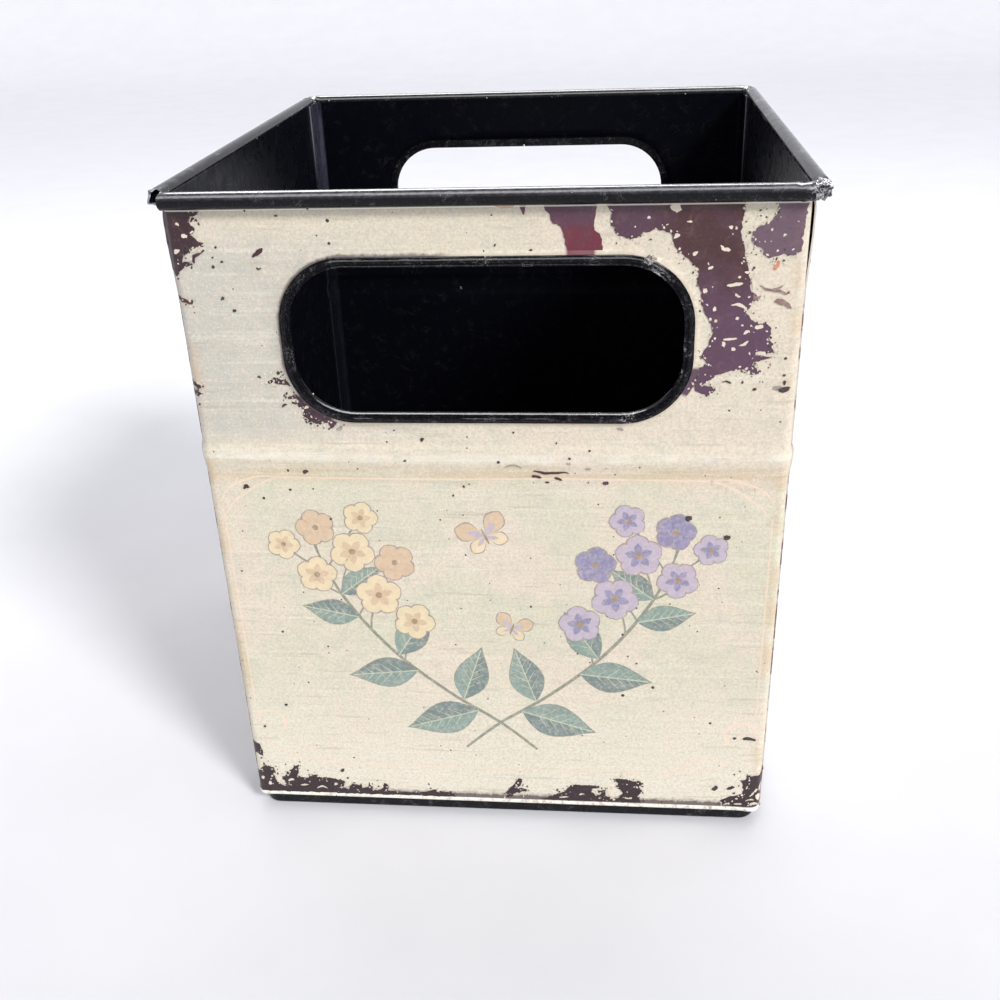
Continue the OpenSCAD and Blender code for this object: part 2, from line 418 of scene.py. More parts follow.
def streaked(g):
    """Streaks, grain, ochre below the ridge and at the corners, a painted highlight along the top of the
    ridge, and crazing high up.
    """
    x, y, z = g.x, g.y, g.z
    streak = g.noise(1.2, 3, 0.6, g.stretched(0.04, 0.04, 1.0))
    g.lay(g.times(g.ramp(streak, 0.52, 0.72), 0.4), CREAM_PALE)
    near_ridge = g.times(g.ramp(z, RIDGE_Z - 10, RIDGE_Z - 5), g.ramp(z, RIDGE_Z - 1, RIDGE_Z - 5))
    warm = g.times(near_ridge, g.ramp(streak, 0.4, 0.6, 0.1, 0.55))
    g.lay(warm, OCHRE)
    edge = g.ramp(g.math("ABSOLUTE", x), WALL_X - 4.5, WALL_X - 1)
    edge = g.times(edge, g.ramp(g.math("ABSOLUTE", y), WALL_Y - 6, WALL_Y - 2.5))
    g.lay(g.times(edge, g.ramp(g.noise(9, 3), 0.45, 0.65, 0.0, 0.5)), OCHRE)
    dirty = g.noise(1.0, 3, 0.65, g.stretched(0.05, 0.05, 1.0))
    g.lay(g.times(g.ramp(dirty, 0.56, 0.74), 0.45), GRIME_AND_SHADE)
    g.lay(g.ramp(g.noise(0.7, 3, 0.75), 0.36, 0.6, 0.36, 0.0), GRIME_AND_SHADE)
    g.lay(g.ramp(g.noise(0.4, 2, 0.7), 0.55, 0.72, 0.0, 0.45), LIP)
    # Painted highlight along the crest of the ridge, lower in the middle of the wall, broken up by noise
    # and streaks
    sag = g.math("MULTIPLY_ADD", g.times(x, x), -CREST_SAG / WALL_X ** 2, CREST_SAG)
    crest_highlight = g.math("ABSOLUTE", g.math("SUBTRACT", g.math("ADD", z, sag), RIDGE_Z - 0.1))
    crest_highlight = g.times(g.ramp(crest_highlight, 2.0, 0.3), g.ramp(g.noise(7, 4, 0.6), 0.35, 0.6, 0.1, 0.6))
    g.lay(g.times(crest_highlight, g.ramp(streak, 0.35, 0.6, 0.5, 1.0)), LIP)
    craze_place = g.vector("ADD", g.place, g.warble(3.0, 3.5))
    craze = g.times(g.cracks(3.4, 0.05, craze_place), g.ramp(g.noise(14, 2), 0.5, 0.64))
    craze = g.times(craze, g.ramp(z, 140, 160, 0.0, 0.35))
    g.lay(craze, CREAM_PALE)


def aged_print(g):
    """The aged ground with its streaks, a pale line under the rim, painted shade and stains round the front
    hole's edging, a dark band above the hem, a painted highlight along its lip, and specks.
    """
    x, y, z = g.x, g.y, g.z
    aged_ground(g)
    streaked(g)
    g.lay(g.ramp(z, RIM_LINE, RIM_LINE + 0.1), LIP)
    # Painted shade round the front hole's edging, with stains where wear reaches it
    shade_and_stains, amount = hole_shade_and_wear(g)
    amount = g.times(amount, g.ramp(g.math("ABSOLUTE", y), WALL_Y - 3, WALL_Y - 2))
    g.lay(amount, shade_and_stains)
    # A dark band above the hem's lip, fading upward
    level = g.math("MULTIPLY_ADD", g.noise(2.2, 4, 0.65), 3.0, g.math("SUBTRACT", z, 1.5))
    g.lay(g.ramp(level, WALL_LOW + 4.2, WALL_LOW + 2.8, 0.0, 0.5), HEM_DARK)
    g.lay(g.ramp(level, WALL_LOW + 3.1, WALL_LOW + 2.6, 0.0, 0.8), HEM_DARK)
    # Painted highlight along the lip of the hem: broken up, and fuller on the left
    broken = g.ramp(g.noise(2.5, 4, 0.7), 0.3, 0.55, g.ramp(x, -10, 20, 0.5, 0.1), 1.0)
    lip = g.times(g.ramp(z, WALL_LOW + 1.6, WALL_LOW + 1.3), broken)
    g.lay(lip, LIP)
    for cell, share, size in ((9.0, 0.4, 0.95), (4.0, 0.4, 0.58), (2.0, 0.35, 0.34)):
        g.lay(g.specks(cell, share, size), SPECK)


def lacquer(g):
    """Roughness, clear coat and unevenness of the lacquered print."""
    g.gloss(6, 0.34, 0.46)
    g.bsdf.inputs["Coat Weight"].default_value = 0.25
    g.bsdf.inputs["Coat Roughness"].default_value = 0.25
    g.bump(1.6, 4, 0.6, 0.05, 0.35)
    return g.done()


def printed_material():
    g = Graph("printed_tin")
    aged_print(g)
    return lacquer(g)


def print_material(name, colour, strength, shade=0.8):
    """A faded printed colour over the same aged ground, with cloudy ink."""
    g = Graph(name)
    dark = (colour[0] * shade, colour[1] * shade, colour[2] * shade, 1.0)
    ink = g.mix(g.ramp(g.noise(3.0, 4, 0.65), 0.35, 0.65), colour, dark)
    cover = g.ramp(g.noise(0.9, 4, 0.7), 0.25, 0.6, 0.55 * strength, strength)
    aged_print(g)
    g.lay(cover, ink)
    return lacquer(g)


# Where the worn primer of the front wall changes its tone, as ends of a ramp along one axis
PLUM_RIGHT = (44, 36)
PLUM_LEFT = (27, 28)
CORNER_RIGHT = (58.5, 60)
CORNER_LOW = (161, 163)
MAROON_LEFT = (-30, -45)

# The painted highlight band inside the bend at the back left, along each axis
BAND_X = (-70.2, -71.0)
BAND_Y = (65.2, 66.0)
BAND_Z = (120, 165)


def worn_material(name, upper, lower, turn):
    """Dark primer where print has flaked: its tone turns at a height, and is darkest low down."""
    g = Graph(name)
    z = g.z
    level = g.math("MULTIPLY_ADD", g.noise(6, 4), 16.0, z)
    g.colour = g.mix(g.ramp(level, turn + 5, turn - 5), upper, lower)
    g.lay(g.times(g.ramp(g.noise(7, 4, 0.65), 0.48, 0.68), 0.4), PURPLE_GREY)
    plum = g.times(g.ramp(g.x, *PLUM_RIGHT), g.ramp(g.x, *PLUM_LEFT))
    g.lay(g.times(plum, 0.8), PURPLE_GREY)
    corner = g.times(g.ramp(g.x, *CORNER_RIGHT), g.ramp(z, *CORNER_LOW))
    g.lay(g.times(corner, 0.9), CORNER_WORN)
    g.lay(g.times(g.ramp(g.x, *MAROON_LEFT), 0.85), MAROON)
    cloud = g.ramp(g.noise(4, 5, 0.7, distortion=0.6), 0.5, 0.75)
    g.lay(g.times(cloud, 0.28), CLOUDED)
    g.lay(g.ramp(z, 70, 40), PRIMER_LOW)
    streak = g.noise(0.9, 4, 0.7, g.stretched(0.15, 0.15, 1.0))
    g.lay(g.times(g.ramp(streak, 0.55, 0.75), 0.3), PURPLE_GREY)
    fine = g.noise(0.6, 4, 0.8)
    g.lay(g.ramp(fine, 0.56, 0.72, 0.0, 0.35), CLOUDED)
    g.lay(g.ramp(fine, 0.44, 0.3, 0.0, 0.5), PRIMER_LOW)
    g.lay(g.ramp(z, RIM_LINE, RIM_LINE + 0.1, 0.0, 0.7), LIP)
    for cell, share, size in ((3.5, 0.16, 0.3), (1.6, 0.12, 0.16)):
        g.lay(g.specks(cell, share, size), CREAM_PINK)
    g.gloss(3, 0.34, 0.52)
    g.bump(0.8, 4, 0.6, 0.04, 0.4)
    return g.done()


def chip_material():
    """Near-black spots where the print has chipped to the sheet."""
    g = Graph("dark_chip")
    tone = g.ramp(g.noise(0.7, 4, 0.7), 0.35, 0.65)
    g.colour = g.mix(tone, rgb(38, 26, 30), rgb(76, 60, 58))
    return lacquer(g)


def scratches(g, size, width):
    """Fine curved lines, gathered in patches."""
    wave = g.noise(size, 6, 0.75, distortion=1.6)
    line = g.ramp(g.math("ABSOLUTE", g.math("SUBTRACT", wave, 0.5)), width, 0.15 * width)
    return g.times(line, g.ramp(g.noise(5, 2), 0.5, 0.64))


def near(g, place, low, high):
    """1 at a place, falling off with the distance from it in millimetres."""
    return g.ramp(g.vector("DISTANCE", g.place, place), high, low)


def rim_material():
    """Gloss black lacquer of the roll: dust and a painted sheen on top, fullest on the front roll, with
    scratches, flecks and bare metal in places.
    """
    g = Graph("black_rim")
    # Painted sheen, grained like dust, along the top of the roll and strongest on the front roll
    sheen_on_top = g.ramp(g.z, RIM_TOP - 1.9, RIM_TOP - 0.9)
    dust = g.times(sheen_on_top, g.ramp(g.noise(1.4, 4, 0.7), 0.35, 0.65, 0.2, 0.6))
    dust = g.times(dust, g.ramp(g.y, -71, -74, 0.15, 1.0))
    g.colour = g.mix(dust, BLACK, DUST_AND_SHEEN)
    g.lay(g.times(g.ramp(g.noise(0.5, 3, 0.7), 0.55, 0.7), 0.2), DUST_AND_SHEEN)
    g.lay(g.times(scratches(g, 9, 0.006), 0.35), BARE)
    g.lay(g.specks(1.7, 0.3, 0.3), BARE)
    bare = near(g, (75.2, -76.6, 178.6), 1.5, 6.0)
    bare = g.math("ADD", bare, near(g, (-74.6, -77, 178.6), 0.5, 3.5))
    for y in (68, 45, 20, -40):
        bare = g.math("ADD", bare, g.times(near(g, (74.5, y, 178), 0.5, 6.0), 0.6))
    patch = g.ramp(g.noise(1.1, 5, 0.75, distortion=0.8), 0.5, 0.6)
    g.lay(g.math("MULTIPLY", bare, patch, clamp=True), BARE)
    g.gloss(2.5, 0.12, 0.26, 0.2)
    g.bump(0.9, 4, 0.65, 0.05, 0.4)
    return g.done()


def black_material(name, base, specular, wear, uneven, bend_highlight=0.0):
    """Black lacquer with fine scratches and dust, and a painted highlight band inside one bend, as strong
    as the last argument, when that is over 0.
    """
    g = Graph(name)
    dust = g.ramp(g.noise(0.45, 3, 0.7), 0.56, 0.7)
    g.colour = g.mix(g.times(dust, wear), base, DUST_AND_SHEEN)
    g.lay(g.times(scratches(g, 10, 0.01), wear), BARE)
    if bend_highlight:
        # Painted highlight down the inside of the back-left bend, in streaks, fading lower down
        band = g.times(g.ramp(g.x, *BAND_X), g.ramp(g.y, *BAND_Y))
        band = g.times(band, g.ramp(g.z, *BAND_Z, 0.1, 1.0))
        rubbed = g.noise(0.9, 5, 0.8, g.stretched(1.0, 1.0, 0.12))
        rubbed = g.ramp(rubbed, 0.35, 0.62, 0.5 * bend_highlight, 2.6 * bend_highlight)
        g.lay(g.times(band, rubbed), BEND_HIGHLIGHT_BLUE)
    g.gloss(4, 0.24, 0.36, specular)
    g.bump(1.2, 4, 0.6, 0.04, uneven)
    return g.done()


def crimp_material():
    """Rolled corner crushed flat in places, down to bright metal on its folds."""
    g = Graph("crushed_corner")
    fold = g.ramp(g.noise(1.6, 5, 0.7, distortion=1.2), 0.5, 0.6)
    bare = g.times(fold, g.ramp(g.y, -70, -74, 0.25, 0.75))
    g.colour = g.mix(bare, BLACK, BARE)
    g.gloss(1.5, 0.16, 0.36, 0.4)
    g.bump(0.7, 4, 0.7, 0.12, 0.6)
    return g.done()


def dull(g):
    """Roughness and unevenness of a cut edge."""
    g.bsdf.inputs["Roughness"].default_value = 0.4
    g.bump(0.6, 3, 0.6, 0.04, 0.4)
    return g.done()


def edge_material():
    """The cut edge of the sheet: dull metal, in painted shade low down and with a painted highlight near
    the rim.
    """
    g = Graph("cut_edge")
    tone = g.ramp(g.noise(2.0, 4, 0.7), 0.35, 0.65)
    shade = g.mix(tone, rgb(22, 22, 28), rgb(38, 38, 46))
    # Painted highlight near the rim, fading to painted shade lower in the box
    g.colour = g.mix(g.ramp(g.z, 150, 172), shade, rgb(128, 128, 140))
    return dull(g)


def upright_material():
    """The upright edge of a side sheet: white where the print wraps over it, rusty in between."""
    g = Graph("upright_edge")
    rust = g.ramp(g.noise(6, 5, 0.7, g.stretched(1.0, 1.0, 0.6)), 0.46, 0.58)
    rust = g.times(rust, g.ramp(g.z, 158, 150))
    g.colour = g.mix(rust, rgb(206, 196, 184), rgb(112, 74, 68))
    return dull(g)


printed = printed_material()
rim_black = rim_material()
# The last number is the strength of the painted highlight inside the back-left bend
inner_black = black_material("black_inside", BLACK_DEEP, 0.04, 0.04, 0.06, 0.18)
black = black_material("black_enamel", BLACK, 0.25, 0.2, 0.3)
cut_edge = edge_material()
upright_edge = upright_material()
worn = worn_material("worn_primer", BROWN, PURPLE, 164)
dark_chip = chip_material()
worn_red = worn_material("worn_red", PURPLE_GREY, RED, 180)
orange_ink = print_material("orange_ink", ORANGE, 0.95)
ochre_ink = print_material("ochre_ink", OCHRE, 0.85)
border_ink = print_material("border_ink", rgb(242, 216, 192), 0.7, 0.92)
leaf_ink = print_material("leaf_ink", rgb(112, 146, 140), 0.85)
leaf_dark = print_material("leaf_shade", rgb(84, 116, 120), 0.85)
vein_ink = print_material("vein_ink", rgb(186, 198, 172), 0.8)
stem_ink = print_material("stem_ink", rgb(112, 120, 104), 0.8)
outline_ink = print_material("outline_ink", rgb(132, 112, 118), 0.7)
cream_ink = print_material("cream_petal", rgb(236, 214, 172), 0.85, 0.88)
tan_ink = print_material("tan_petal", rgb(216, 182, 146), 0.8, 0.88)
blue_ink = print_material("blue_petal", rgb(128, 122, 172), 0.85)
lilac_ink = print_material("lilac_petal", rgb(184, 168, 196), 0.8, 0.88)
heart_ink = print_material("flower_heart", rgb(150, 112, 62), 0.8)
smear = print_material("worn_smear", rgb(128, 96, 92), 0.95)
grey_ink = print_material("faint_chip", rgb(150, 140, 132), 0.9)
worn_low = worn_material("worn_scratch", BROWN, MAROON, 118)
chip_ink = print_material("left_print", rgb(228, 214, 196), 1.0, 0.94)


# Sheet pieces made from the CAD solids, with a finer mesh that can be uneven

SHEET_CELL = 4.0
CORNER_CELL = 1.0
CORNER_REACH = 8.0
UPRIGHT_REACH = 4.0
NARROW = 0.6


def to_mesh(shape, name):
    """Ends a shape's drawing and returns it as a mesh."""
    mesh = bpy.data.meshes.new(name)
    shape.to_mesh(mesh)
    shape.free()
    return mesh


def to_scene(name, data):
    thing = bpy.data.objects.new(name, data)
    bpy.context.scene.collection.objects.link(thing)
    return thing


def skin(shape, rows):
    """Joins rows of corners, each a closed section, into a tube with closed ends."""
    count = len(rows[0])
    for a, b in zip(rows, rows[1:]):
        for i in range(count):
            j = (i + 1) % count
            shape.faces.new((a[i], b[i], b[j], a[j]))
    shape.faces.new(rows[0])
    shape.faces.new(rows[-1][::-1])
    bmesh.ops.recalc_face_normals(shape, faces=shape.faces)


def cut_places(low, high):
    """Where a panel is cut along one axis: coarse cells, and fine ones near its two ends."""
    count = int((high - low) / SHEET_CELL)
    places = [low + (high - low) * i / count for i in range(1, count)]
    fine = int(CORNER_REACH / CORNER_CELL)
    for i in range(1, fine):
        places += [low + i * CORNER_CELL, high - i * CORNER_CELL]
    return places


def cut(shape, axis, place):
    normal = Vector((0, 0, 0))
    normal[axis] = 1
    everything = shape.verts[:] + shape.edges[:] + shape.faces[:]
    bmesh.ops.bisect_plane(shape, geom=everything, plane_co=normal * place, plane_no=normal, dist=1e-8)


def finer_copy(node, name):
    """A copy of a CAD node's mesh, cut into cells and warped like the sheet it is."""
    shape = bmesh.new()
    shape.from_mesh(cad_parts[node].data)
    bmesh.ops.remove_doubles(shape, verts=shape.verts, dist=1e-7)
    low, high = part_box(node)
    for axis in range(3):
        for place in cut_places(low[axis] / MM, high[axis] / MM):
            cut(shape, axis, place * MM)
    for face in shape.faces:
        face.material_index = sheet_material(face)
    for vertex in shape.verts:
        vertex.co = warp(vertex.co / MM) * MM
    return to_mesh(shape, name)


def add_piece(name, mesh, materials):
    piece = to_scene(name, mesh)
    for material in materials:
        mesh.materials.append(material)
    for face in mesh.polygons:
        face.use_smooth = True
    mesh.set_sharp_from_angle(angle=math.radians(35))
    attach(piece, "root")
    return piece


# Places of a sheet's materials in SHEET_MATERIALS
PRINTED, INSIDE, RIM, EDGE, UPRIGHT = range(5)


def sheet_material(face):
    """Outer faces are printed; the roll, the inside and the cut edges of the sheet are not."""
    centre = face.calc_center_median() / MM
    sideways = abs(centre.x) / WALL_X > abs(centre.y) / WALL_Y
    out, along = (0, 1) if sideways else (1, 0)
    reach = abs(centre[out]) - (WALL_X, WALL_Y)[out]
    at_end = abs(face.normal[along]) > 0.9
    if centre.z > RIM_TOP - 2 * RIM_R - 0.1 and reach > NARROW or centre.z > RIM_TOP - RIM_R:
        return EDGE if at_end else RIM
    if sideways and at_end and abs(centre.y) > WALL_Y - UPRIGHT_REACH:
        return UPRIGHT
    if sideways and at_end and abs(abs(centre.y) - (WALL_Y - LAP_W)) < NARROW:
        return EDGE
    outward = face.normal[out] * math.copysign(1, centre[out])
    return INSIDE if outward < 0.1 else PRINTED


SHEET_MATERIALS = (printed, inner_black, rim_black, cut_edge, upright_edge)
for side in ("front", "back", "left", "right"):
    sheet = finer_copy(side + "_panel", side + "_wall")
    wall_piece = add_piece(side + "_wall", sheet, SHEET_MATERIALS)
    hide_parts(side + "_panel")
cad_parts["base_pan"].material_slots[0].material = black


# Rolls crushed together at three corners; the fourth shows the open end of the left roll

CRIMP_RADIUS = 1.98
CRIMP_STEPS = 14
CRIMP_SIDES = 32
SIDE_ROLL_X = WALL_X + SIDE_GAP + RIM_R
SIDE_ROLL_END = WALL_Y - BEND_R - ROLL_GAP
END_ROLL_Y = WALL_Y + RIM_R - SHEET
END_ROLL_END = WALL_X - ROLL_GAP


def draw_crimp(name, side, end, crush):
    """Joins the end of a side roll to the end of a front or back roll."""
    start = Vector((SIDE_ROLL_X, SIDE_ROLL_END, RIM_TOP - RIM_R))
    corner = Vector((SIDE_ROLL_X, END_ROLL_Y, RIM_TOP - RIM_R))
    finish = Vector((END_ROLL_END, END_ROLL_Y, RIM_TOP - RIM_R))
    shape = bmesh.new()
    rows = []
    for i in range(CRIMP_STEPS + 1):
        t = i / CRIMP_STEPS
        centre = start.lerp(corner, t).lerp(corner.lerp(finish, t), t)
        along = (corner.lerp(finish, t) - start.lerp(corner, t)).normalized()
        across = along.cross(Vector((0, 0, 1)))
        row = []
        for j in range(CRIMP_SIDES):
            angle = 2 * math.pi * j / CRIMP_SIDES
            away = across * math.cos(angle) + Vector((0, 0, math.sin(angle)))
            fold = crush * 4 * t * (1 - t) * (noise.noise((centre + away * 2) * 0.9) - 0.25)
            p = centre + away * (CRIMP_RADIUS + fold)
            row.append(shape.verts.new(inside_box((p.x * side, p.y * end, p.z)) * MM))
        rows.append(row)
    skin(shape, rows)
    add_piece(name, to_mesh(shape, name), (crushed,))


crushed = crimp_material()
draw_crimp("front_right_crimp", 1, -1, 1.5)
draw_crimp("back_right_crimp", 1, 1, 0.5)
draw_crimp("back_left_crimp", -1, 1, 0.5)


# Edging of the hand holes: a folded strip with a lip, a valley and a rounded ridge

ARC_STEPS = 14
PATH_STEP = 3.0
WOBBLE = 0.07

# Section of the strip: outward from the clear opening, and out from the wall's face
EDGING_SECTION = (
    (0.0, -0.3), (2.4, -0.3), (2.4, 0.15), (0.45, 0.15), (0.45, 0.65), (2.4, 0.65), (2.4, 1.0),
    (2.25, 1.15), (1.95, 1.2), (1.75, 1.42), (1.5, 1.6), (1.25, 1.66), (1.0, 1.55), (0.85, 1.3),
    (0.75, 1.08), (0.55, 1.06), (0.42, 1.22), (0.25, 1.3), (0.08, 1.24), (0.0, 1.08),
)


def hole_path():
    """Places round the clear opening and the directions out from it, from butt joint to butt joint."""
    half_x, half_z = HOLE_HALF_W - HOLE_R, HOLE_HALF_H - HOLE_R
    spots = [(JOINT_X + JOINT_GAP / 2, HOLE_HALF_H, 90.0)]
    corners = ((half_x, half_z), (half_x, -half_z), (-half_x, -half_z), (-half_x, half_z))
    for corner, (x, z) in enumerate(corners):
        for i in range(ARC_STEPS + 1):
            angle = 90 - 90 * (corner + i / ARC_STEPS)
            spots.append((x + HOLE_R * math.cos(math.radians(angle)),
                          z + HOLE_R * math.sin(math.radians(angle)), angle))
    spots.append((JOINT_X - JOINT_GAP / 2, HOLE_HALF_H, -270.0))
    path = []
    for a, b in zip(spots, spots[1:]):
        count = max(1, round(math.dist(a[:2], b[:2]) / PATH_STEP))
        path += [[p + (q - p) * i / count for p, q in zip(a, b)] for i in range(count)]
    return path + [spots[-1]]


def edging_mesh(wall, name):
    shape = bmesh.new()
    rows = []
    for x, z, angle in hole_path():
        out_x, out_z = math.cos(math.radians(angle)), math.sin(math.radians(angle))
        row = []
        for reach, rise in EDGING_SECTION:
            front = smooth(0.9, 1.2, rise)
            wobble = WOBBLE * front * noise.noise(Vector((x / 6, z / 6, reach)))
            u, v = x + out_x * (reach + wobble), z + out_z * (reach + wobble)
            place = Vector((u, -(wall.out + rise + wobble), HOLE_Z + v))
            row.append(shape.verts.new(wall.turned(place) * MM))
        rows.append(row)
    skin(shape, rows)
    return to_mesh(shape, name)


def edging_material():
    """Black lacquered strip, rubbed to bare metal along its ridge, lip and outer edge."""
    g = Graph("black_edging")
    rubbed = g.times(g.ramp(g.noise(0.8, 5, 0.75), 0.5, 0.62), g.ramp(g.noise(8, 3), 0.5, 0.64))
    g.colour = g.mix(g.times(g.ramp(g.noise(0.5, 3, 0.7), 0.5, 0.7), 0.3), BLACK, DUST_AND_SHEEN)
    g.lay(g.times(scratches(g, 8, 0.008), 0.35), BARE)
    spots = near(g, (34, -76, 128), 4, 15)
    for x, z, reach in ((-42, 159, 6), (40, 160, 7), (46, 140, 6)):
        spots = g.math("ADD", spots, near(g, (x, -76, z), 1, reach))
    g.lay(g.math("MULTIPLY", spots, g.times(rubbed, 0.9), clamp=True), BARE)
    g.gloss(2.5, 0.08, 0.17, 0.09)
    g.bump(0.9, 4, 0.65, 0.04, 0.4)
    return g.done()


edging_black = edging_material()
for wall in (FRONT, BACK):
    name = wall.name + "_edging"
    strip = add_piece(name, edging_mesh(wall, name), (edging_black,))
    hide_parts(wall.name + "_hole_edging")


# Films: thin closed patches of print or of flaked paint on a wall

FILM_CELL = 3.0
FINE_CELL = 1.2
FILM_BOTTOM = 0.04
FILM_LEVEL = 0.018
WORN_LEVEL = 10
CHIP_LEVEL = 11
LEFT_LEVEL = 12
RAGGED_STEP = 0.45


def film_cuts(low, high, fine_zones):
    """Cell edges from low to high: coarse, and fine within the zones."""
    places = [i * FILM_CELL for i in range(math.ceil(low / FILM_CELL), math.ceil(high / FILM_CELL))]
    for start, end in fine_zones:
        count = math.ceil((end - start) / FINE_CELL)
        places += [start + (end - start) * i / count for i in range(count + 1)]
    return [place for place in places if low < place < high]


class Films:
    """Patches drawn flat in (u, z) for walls of one width, to be laid on one wall or more."""

    def __init__(self, half):
        self.half = half
        self.shape = bmesh.new()
        self.materials = []

    def add(self, outline, material, level):
        """A patch with that outline, that many film levels above the sheet."""
        area = sum(a[0] * b[1] - b[0] * a[1] for a, b in zip(outline, outline[1:] + outline[:1]))
        if area < 0:
            outline = outline[::-1]
        if material not in self.materials:
            self.materials.append(material)
        corners = [self.shape.verts.new((u, z, level * FILM_LEVEL)) for u, z in outline]
        face = self.shape.faces.new(corners)
        face.material_index = self.materials.index(material)

    def close(self):
        """Cuts the patches into cells that can follow the wall, and thickens them."""
        shape = self.shape
        shape.normal_update()
        bmesh.ops.triangulate(shape, faces=shape.faces, ngon_method="EAR_CLIP")
        bend = self.half - BEND_R
        sides = ((-self.half - 1.2, -bend + 4), (bend - 4, self.half + 1.2))
        levels = ((WALL_LOW, 18), (RIDGE_Z - RIDGE_BELOW, RIDGE_Z + RIDGE_ABOVE))
        for axis, zones in enumerate((sides, levels)):
            places = [vertex.co[axis] for vertex in shape.verts]
            for place in film_cuts(min(places), max(places), zones):
                cut(shape, axis, place)
        thicken(shape, FILM_BOTTOM)

    def lay(self, wall, name):
        """Puts a copy of the patches on a wall, as one piece."""
        shape = self.shape.copy()
        for vertex in shape.verts:
            u, z, lift = vertex.co
            vertex.co = wall.point(u, z, lift) * MM
        name = wall.name + "_" + name
        return add_piece(name, to_mesh(shape, name), self.materials)


def thicken(shape, depth):
    """Closes flat patches into solids: a copy lies lower in the sheet, and walls join the two."""
    tops = shape.faces[:]
    rim = [(loop.vert, loop.link_loop_next.vert, loop.face.material_index)
           for edge in shape.edges if edge.is_boundary for loop in edge.link_loops]
    low = {vertex: shape.verts.new((vertex.co.x, vertex.co.y, -depth)) for vertex in shape.verts[:]}
    for face in tops:
        under = shape.faces.new([low[vertex] for vertex in reversed(face.verts)])
        under.material_index = face.material_index
    for a, b, index in rim:
        side = shape.faces.new((b, a, low[a], low[b]))
        side.material_index = index


def ragged(outline, size, seed):
    """The outline with its edges broken up, as flaked paint is."""
    points = []
    for (u0, z0), (u1, z1) in zip(outline, outline[1:] + outline[:1]):
        count = max(1, round(math.dist((u0, z0), (u1, z1)) / RAGGED_STEP))
        for i in range(count):
            u, z = u0 + (u1 - u0) * i / count, z0 + (z1 - z0) * i / count
            push = noise.noise_vector(Vector((u * 1.1, z * 1.1, seed)))
            fine = noise.noise_vector(Vector((u * 2.9, z * 2.9, seed + 9)))
            points.append((u + size * (push.x + 0.5 * fine.x), z + size * (push.y + 0.5 * fine.y)))
    return points


def moved(points, u, z, turn=0.0):
    """The points turned by degrees about the origin, then moved by u and z."""
    c, s = math.cos(math.radians(turn)), math.sin(math.radians(turn))
    return [(u + x * c - y * s, z + x * s + y * c) for x, y in points]


def blob(u, z, wide, high, turn=0.0, points=12):
    """An oval outline, turned by degrees."""
    angles = [2 * math.pi * i / points for i in range(points)]
    return moved([(wide / 2 * math.cos(a), high / 2 * math.sin(a)) for a in angles], u, z, turn)


def smooth_line(points, steps=8):
    """A smooth curve through the points."""
    ends = [points[0]] + list(points) + [points[-1]]
    line = []
    for a, b, c, d in zip(ends, ends[1:], ends[2:], ends[3:]):
        for i in range(steps):
            t = i / steps
            line.append(tuple(0.5 * (2 * q + (r - p) * t + (2 * p - 5 * q + 4 * r - s) * t * t
                                     + (3 * q - p - 3 * r + s) * t ** 3) for p, q, r, s in zip(a, b, c, d)))
    return line + [tuple(points[-1])]


def stroke(line, width, start=1.0, end=1.0):
    """Outline of a line drawn with a pen, whose width goes from start to end times its full width."""
    left, right = [], []
    for i, (u, z) in enumerate(line):
        a, b = line[max(0, i - 1)], line[min(len(line) - 1, i + 1)]
        du, dz = b[0] - a[0], b[1] - a[1]
        size = math.hypot(du, dz) or 1.0
        t = i / (len(line) - 1)
        share = min(1.0, start + (1 - start) * 4 * t, end + (1 - end) * 4 * (1 - t))
        reach = width / 2 * max(share, 0.08)
        left.append((u - dz / size * reach, z + du / size * reach))
        right.append((u + dz / size * reach, z - du / size * reach))
    return left + right[::-1]


def mirrored(points, flip):
    return [(-u, z) if flip else (u, z) for u, z in points]


# Printed border: a thin line with a split, pointed corner above and a scroll and plume below

BORDER_W = 0.45
CORNER_LINES = (
    ((54, 108.3), (57, 108.7), (60, 108.4), (64, 107), (67.5, 105), (69.8, 101.5)),
    ((54, 108.3), (57.5, 107.2), (60.5, 105.6), (63.2, 103.6), (65.8, 101.8), (67.8, 99.5), (69.6, 97)),
)
PLUMES = (
    ((48, 16.8), (51, 19.5), (54.5, 21.8), (59, 22.4), (63, 20.6)),
    ((48, 16.8), (53, 17.2), (58, 18.6), (62.5, 20.4), (66, 22.2), (69.4, 25)),
)
SCROLL_CENTRE = (65.9, 30.6)
SCROLL_R = 4.3
TOP_LINE_Z = 108.3
LOW_LINE_Z = 16.6
SIDE_LINE_IN = 3.0


def draw_border(films):
    shift = films.half - WALL_X
    for low_z, inner in ((TOP_LINE_Z, CORNER_LINES[0][0][0]), (LOW_LINE_Z, PLUMES[0][0][0])):
        spots = (-inner - shift, -20, 0, 20, inner + shift)
        line = smooth_line([(u, low_z + 0.25 * math.sin(u / 9)) for u in spots])
        films.add(stroke(line, BORDER_W), border_ink, 1)
    for flip in (False, True):
        for points in CORNER_LINES + PLUMES:
            line = smooth_line(moved(points, shift, 0.0))
            films.add(mirrored(stroke(line, 1.3 * BORDER_W, 0.7, 0.3), flip), border_ink, 1)
        angles = [math.radians(a) for a in range(-10, 241, 10)]
        arc = [(SCROLL_R * math.cos(a), SCROLL_R * math.sin(a)) for a in angles]
        arc = moved(arc, SCROLL_CENTRE[0] + shift, SCROLL_CENTRE[1])
        films.add(mirrored(stroke(arc, 1.0, 0.3, 0.5), flip), border_ink, 1)
        side = [(films.half - SIDE_LINE_IN, z) for z in range(38, 100, 3)]
        films.add(mirrored(stroke(side, BORDER_W), flip), border_ink, 1)


# Printed sprays: two crossing stems with leaves and five-petalled flowers, and two butterflies

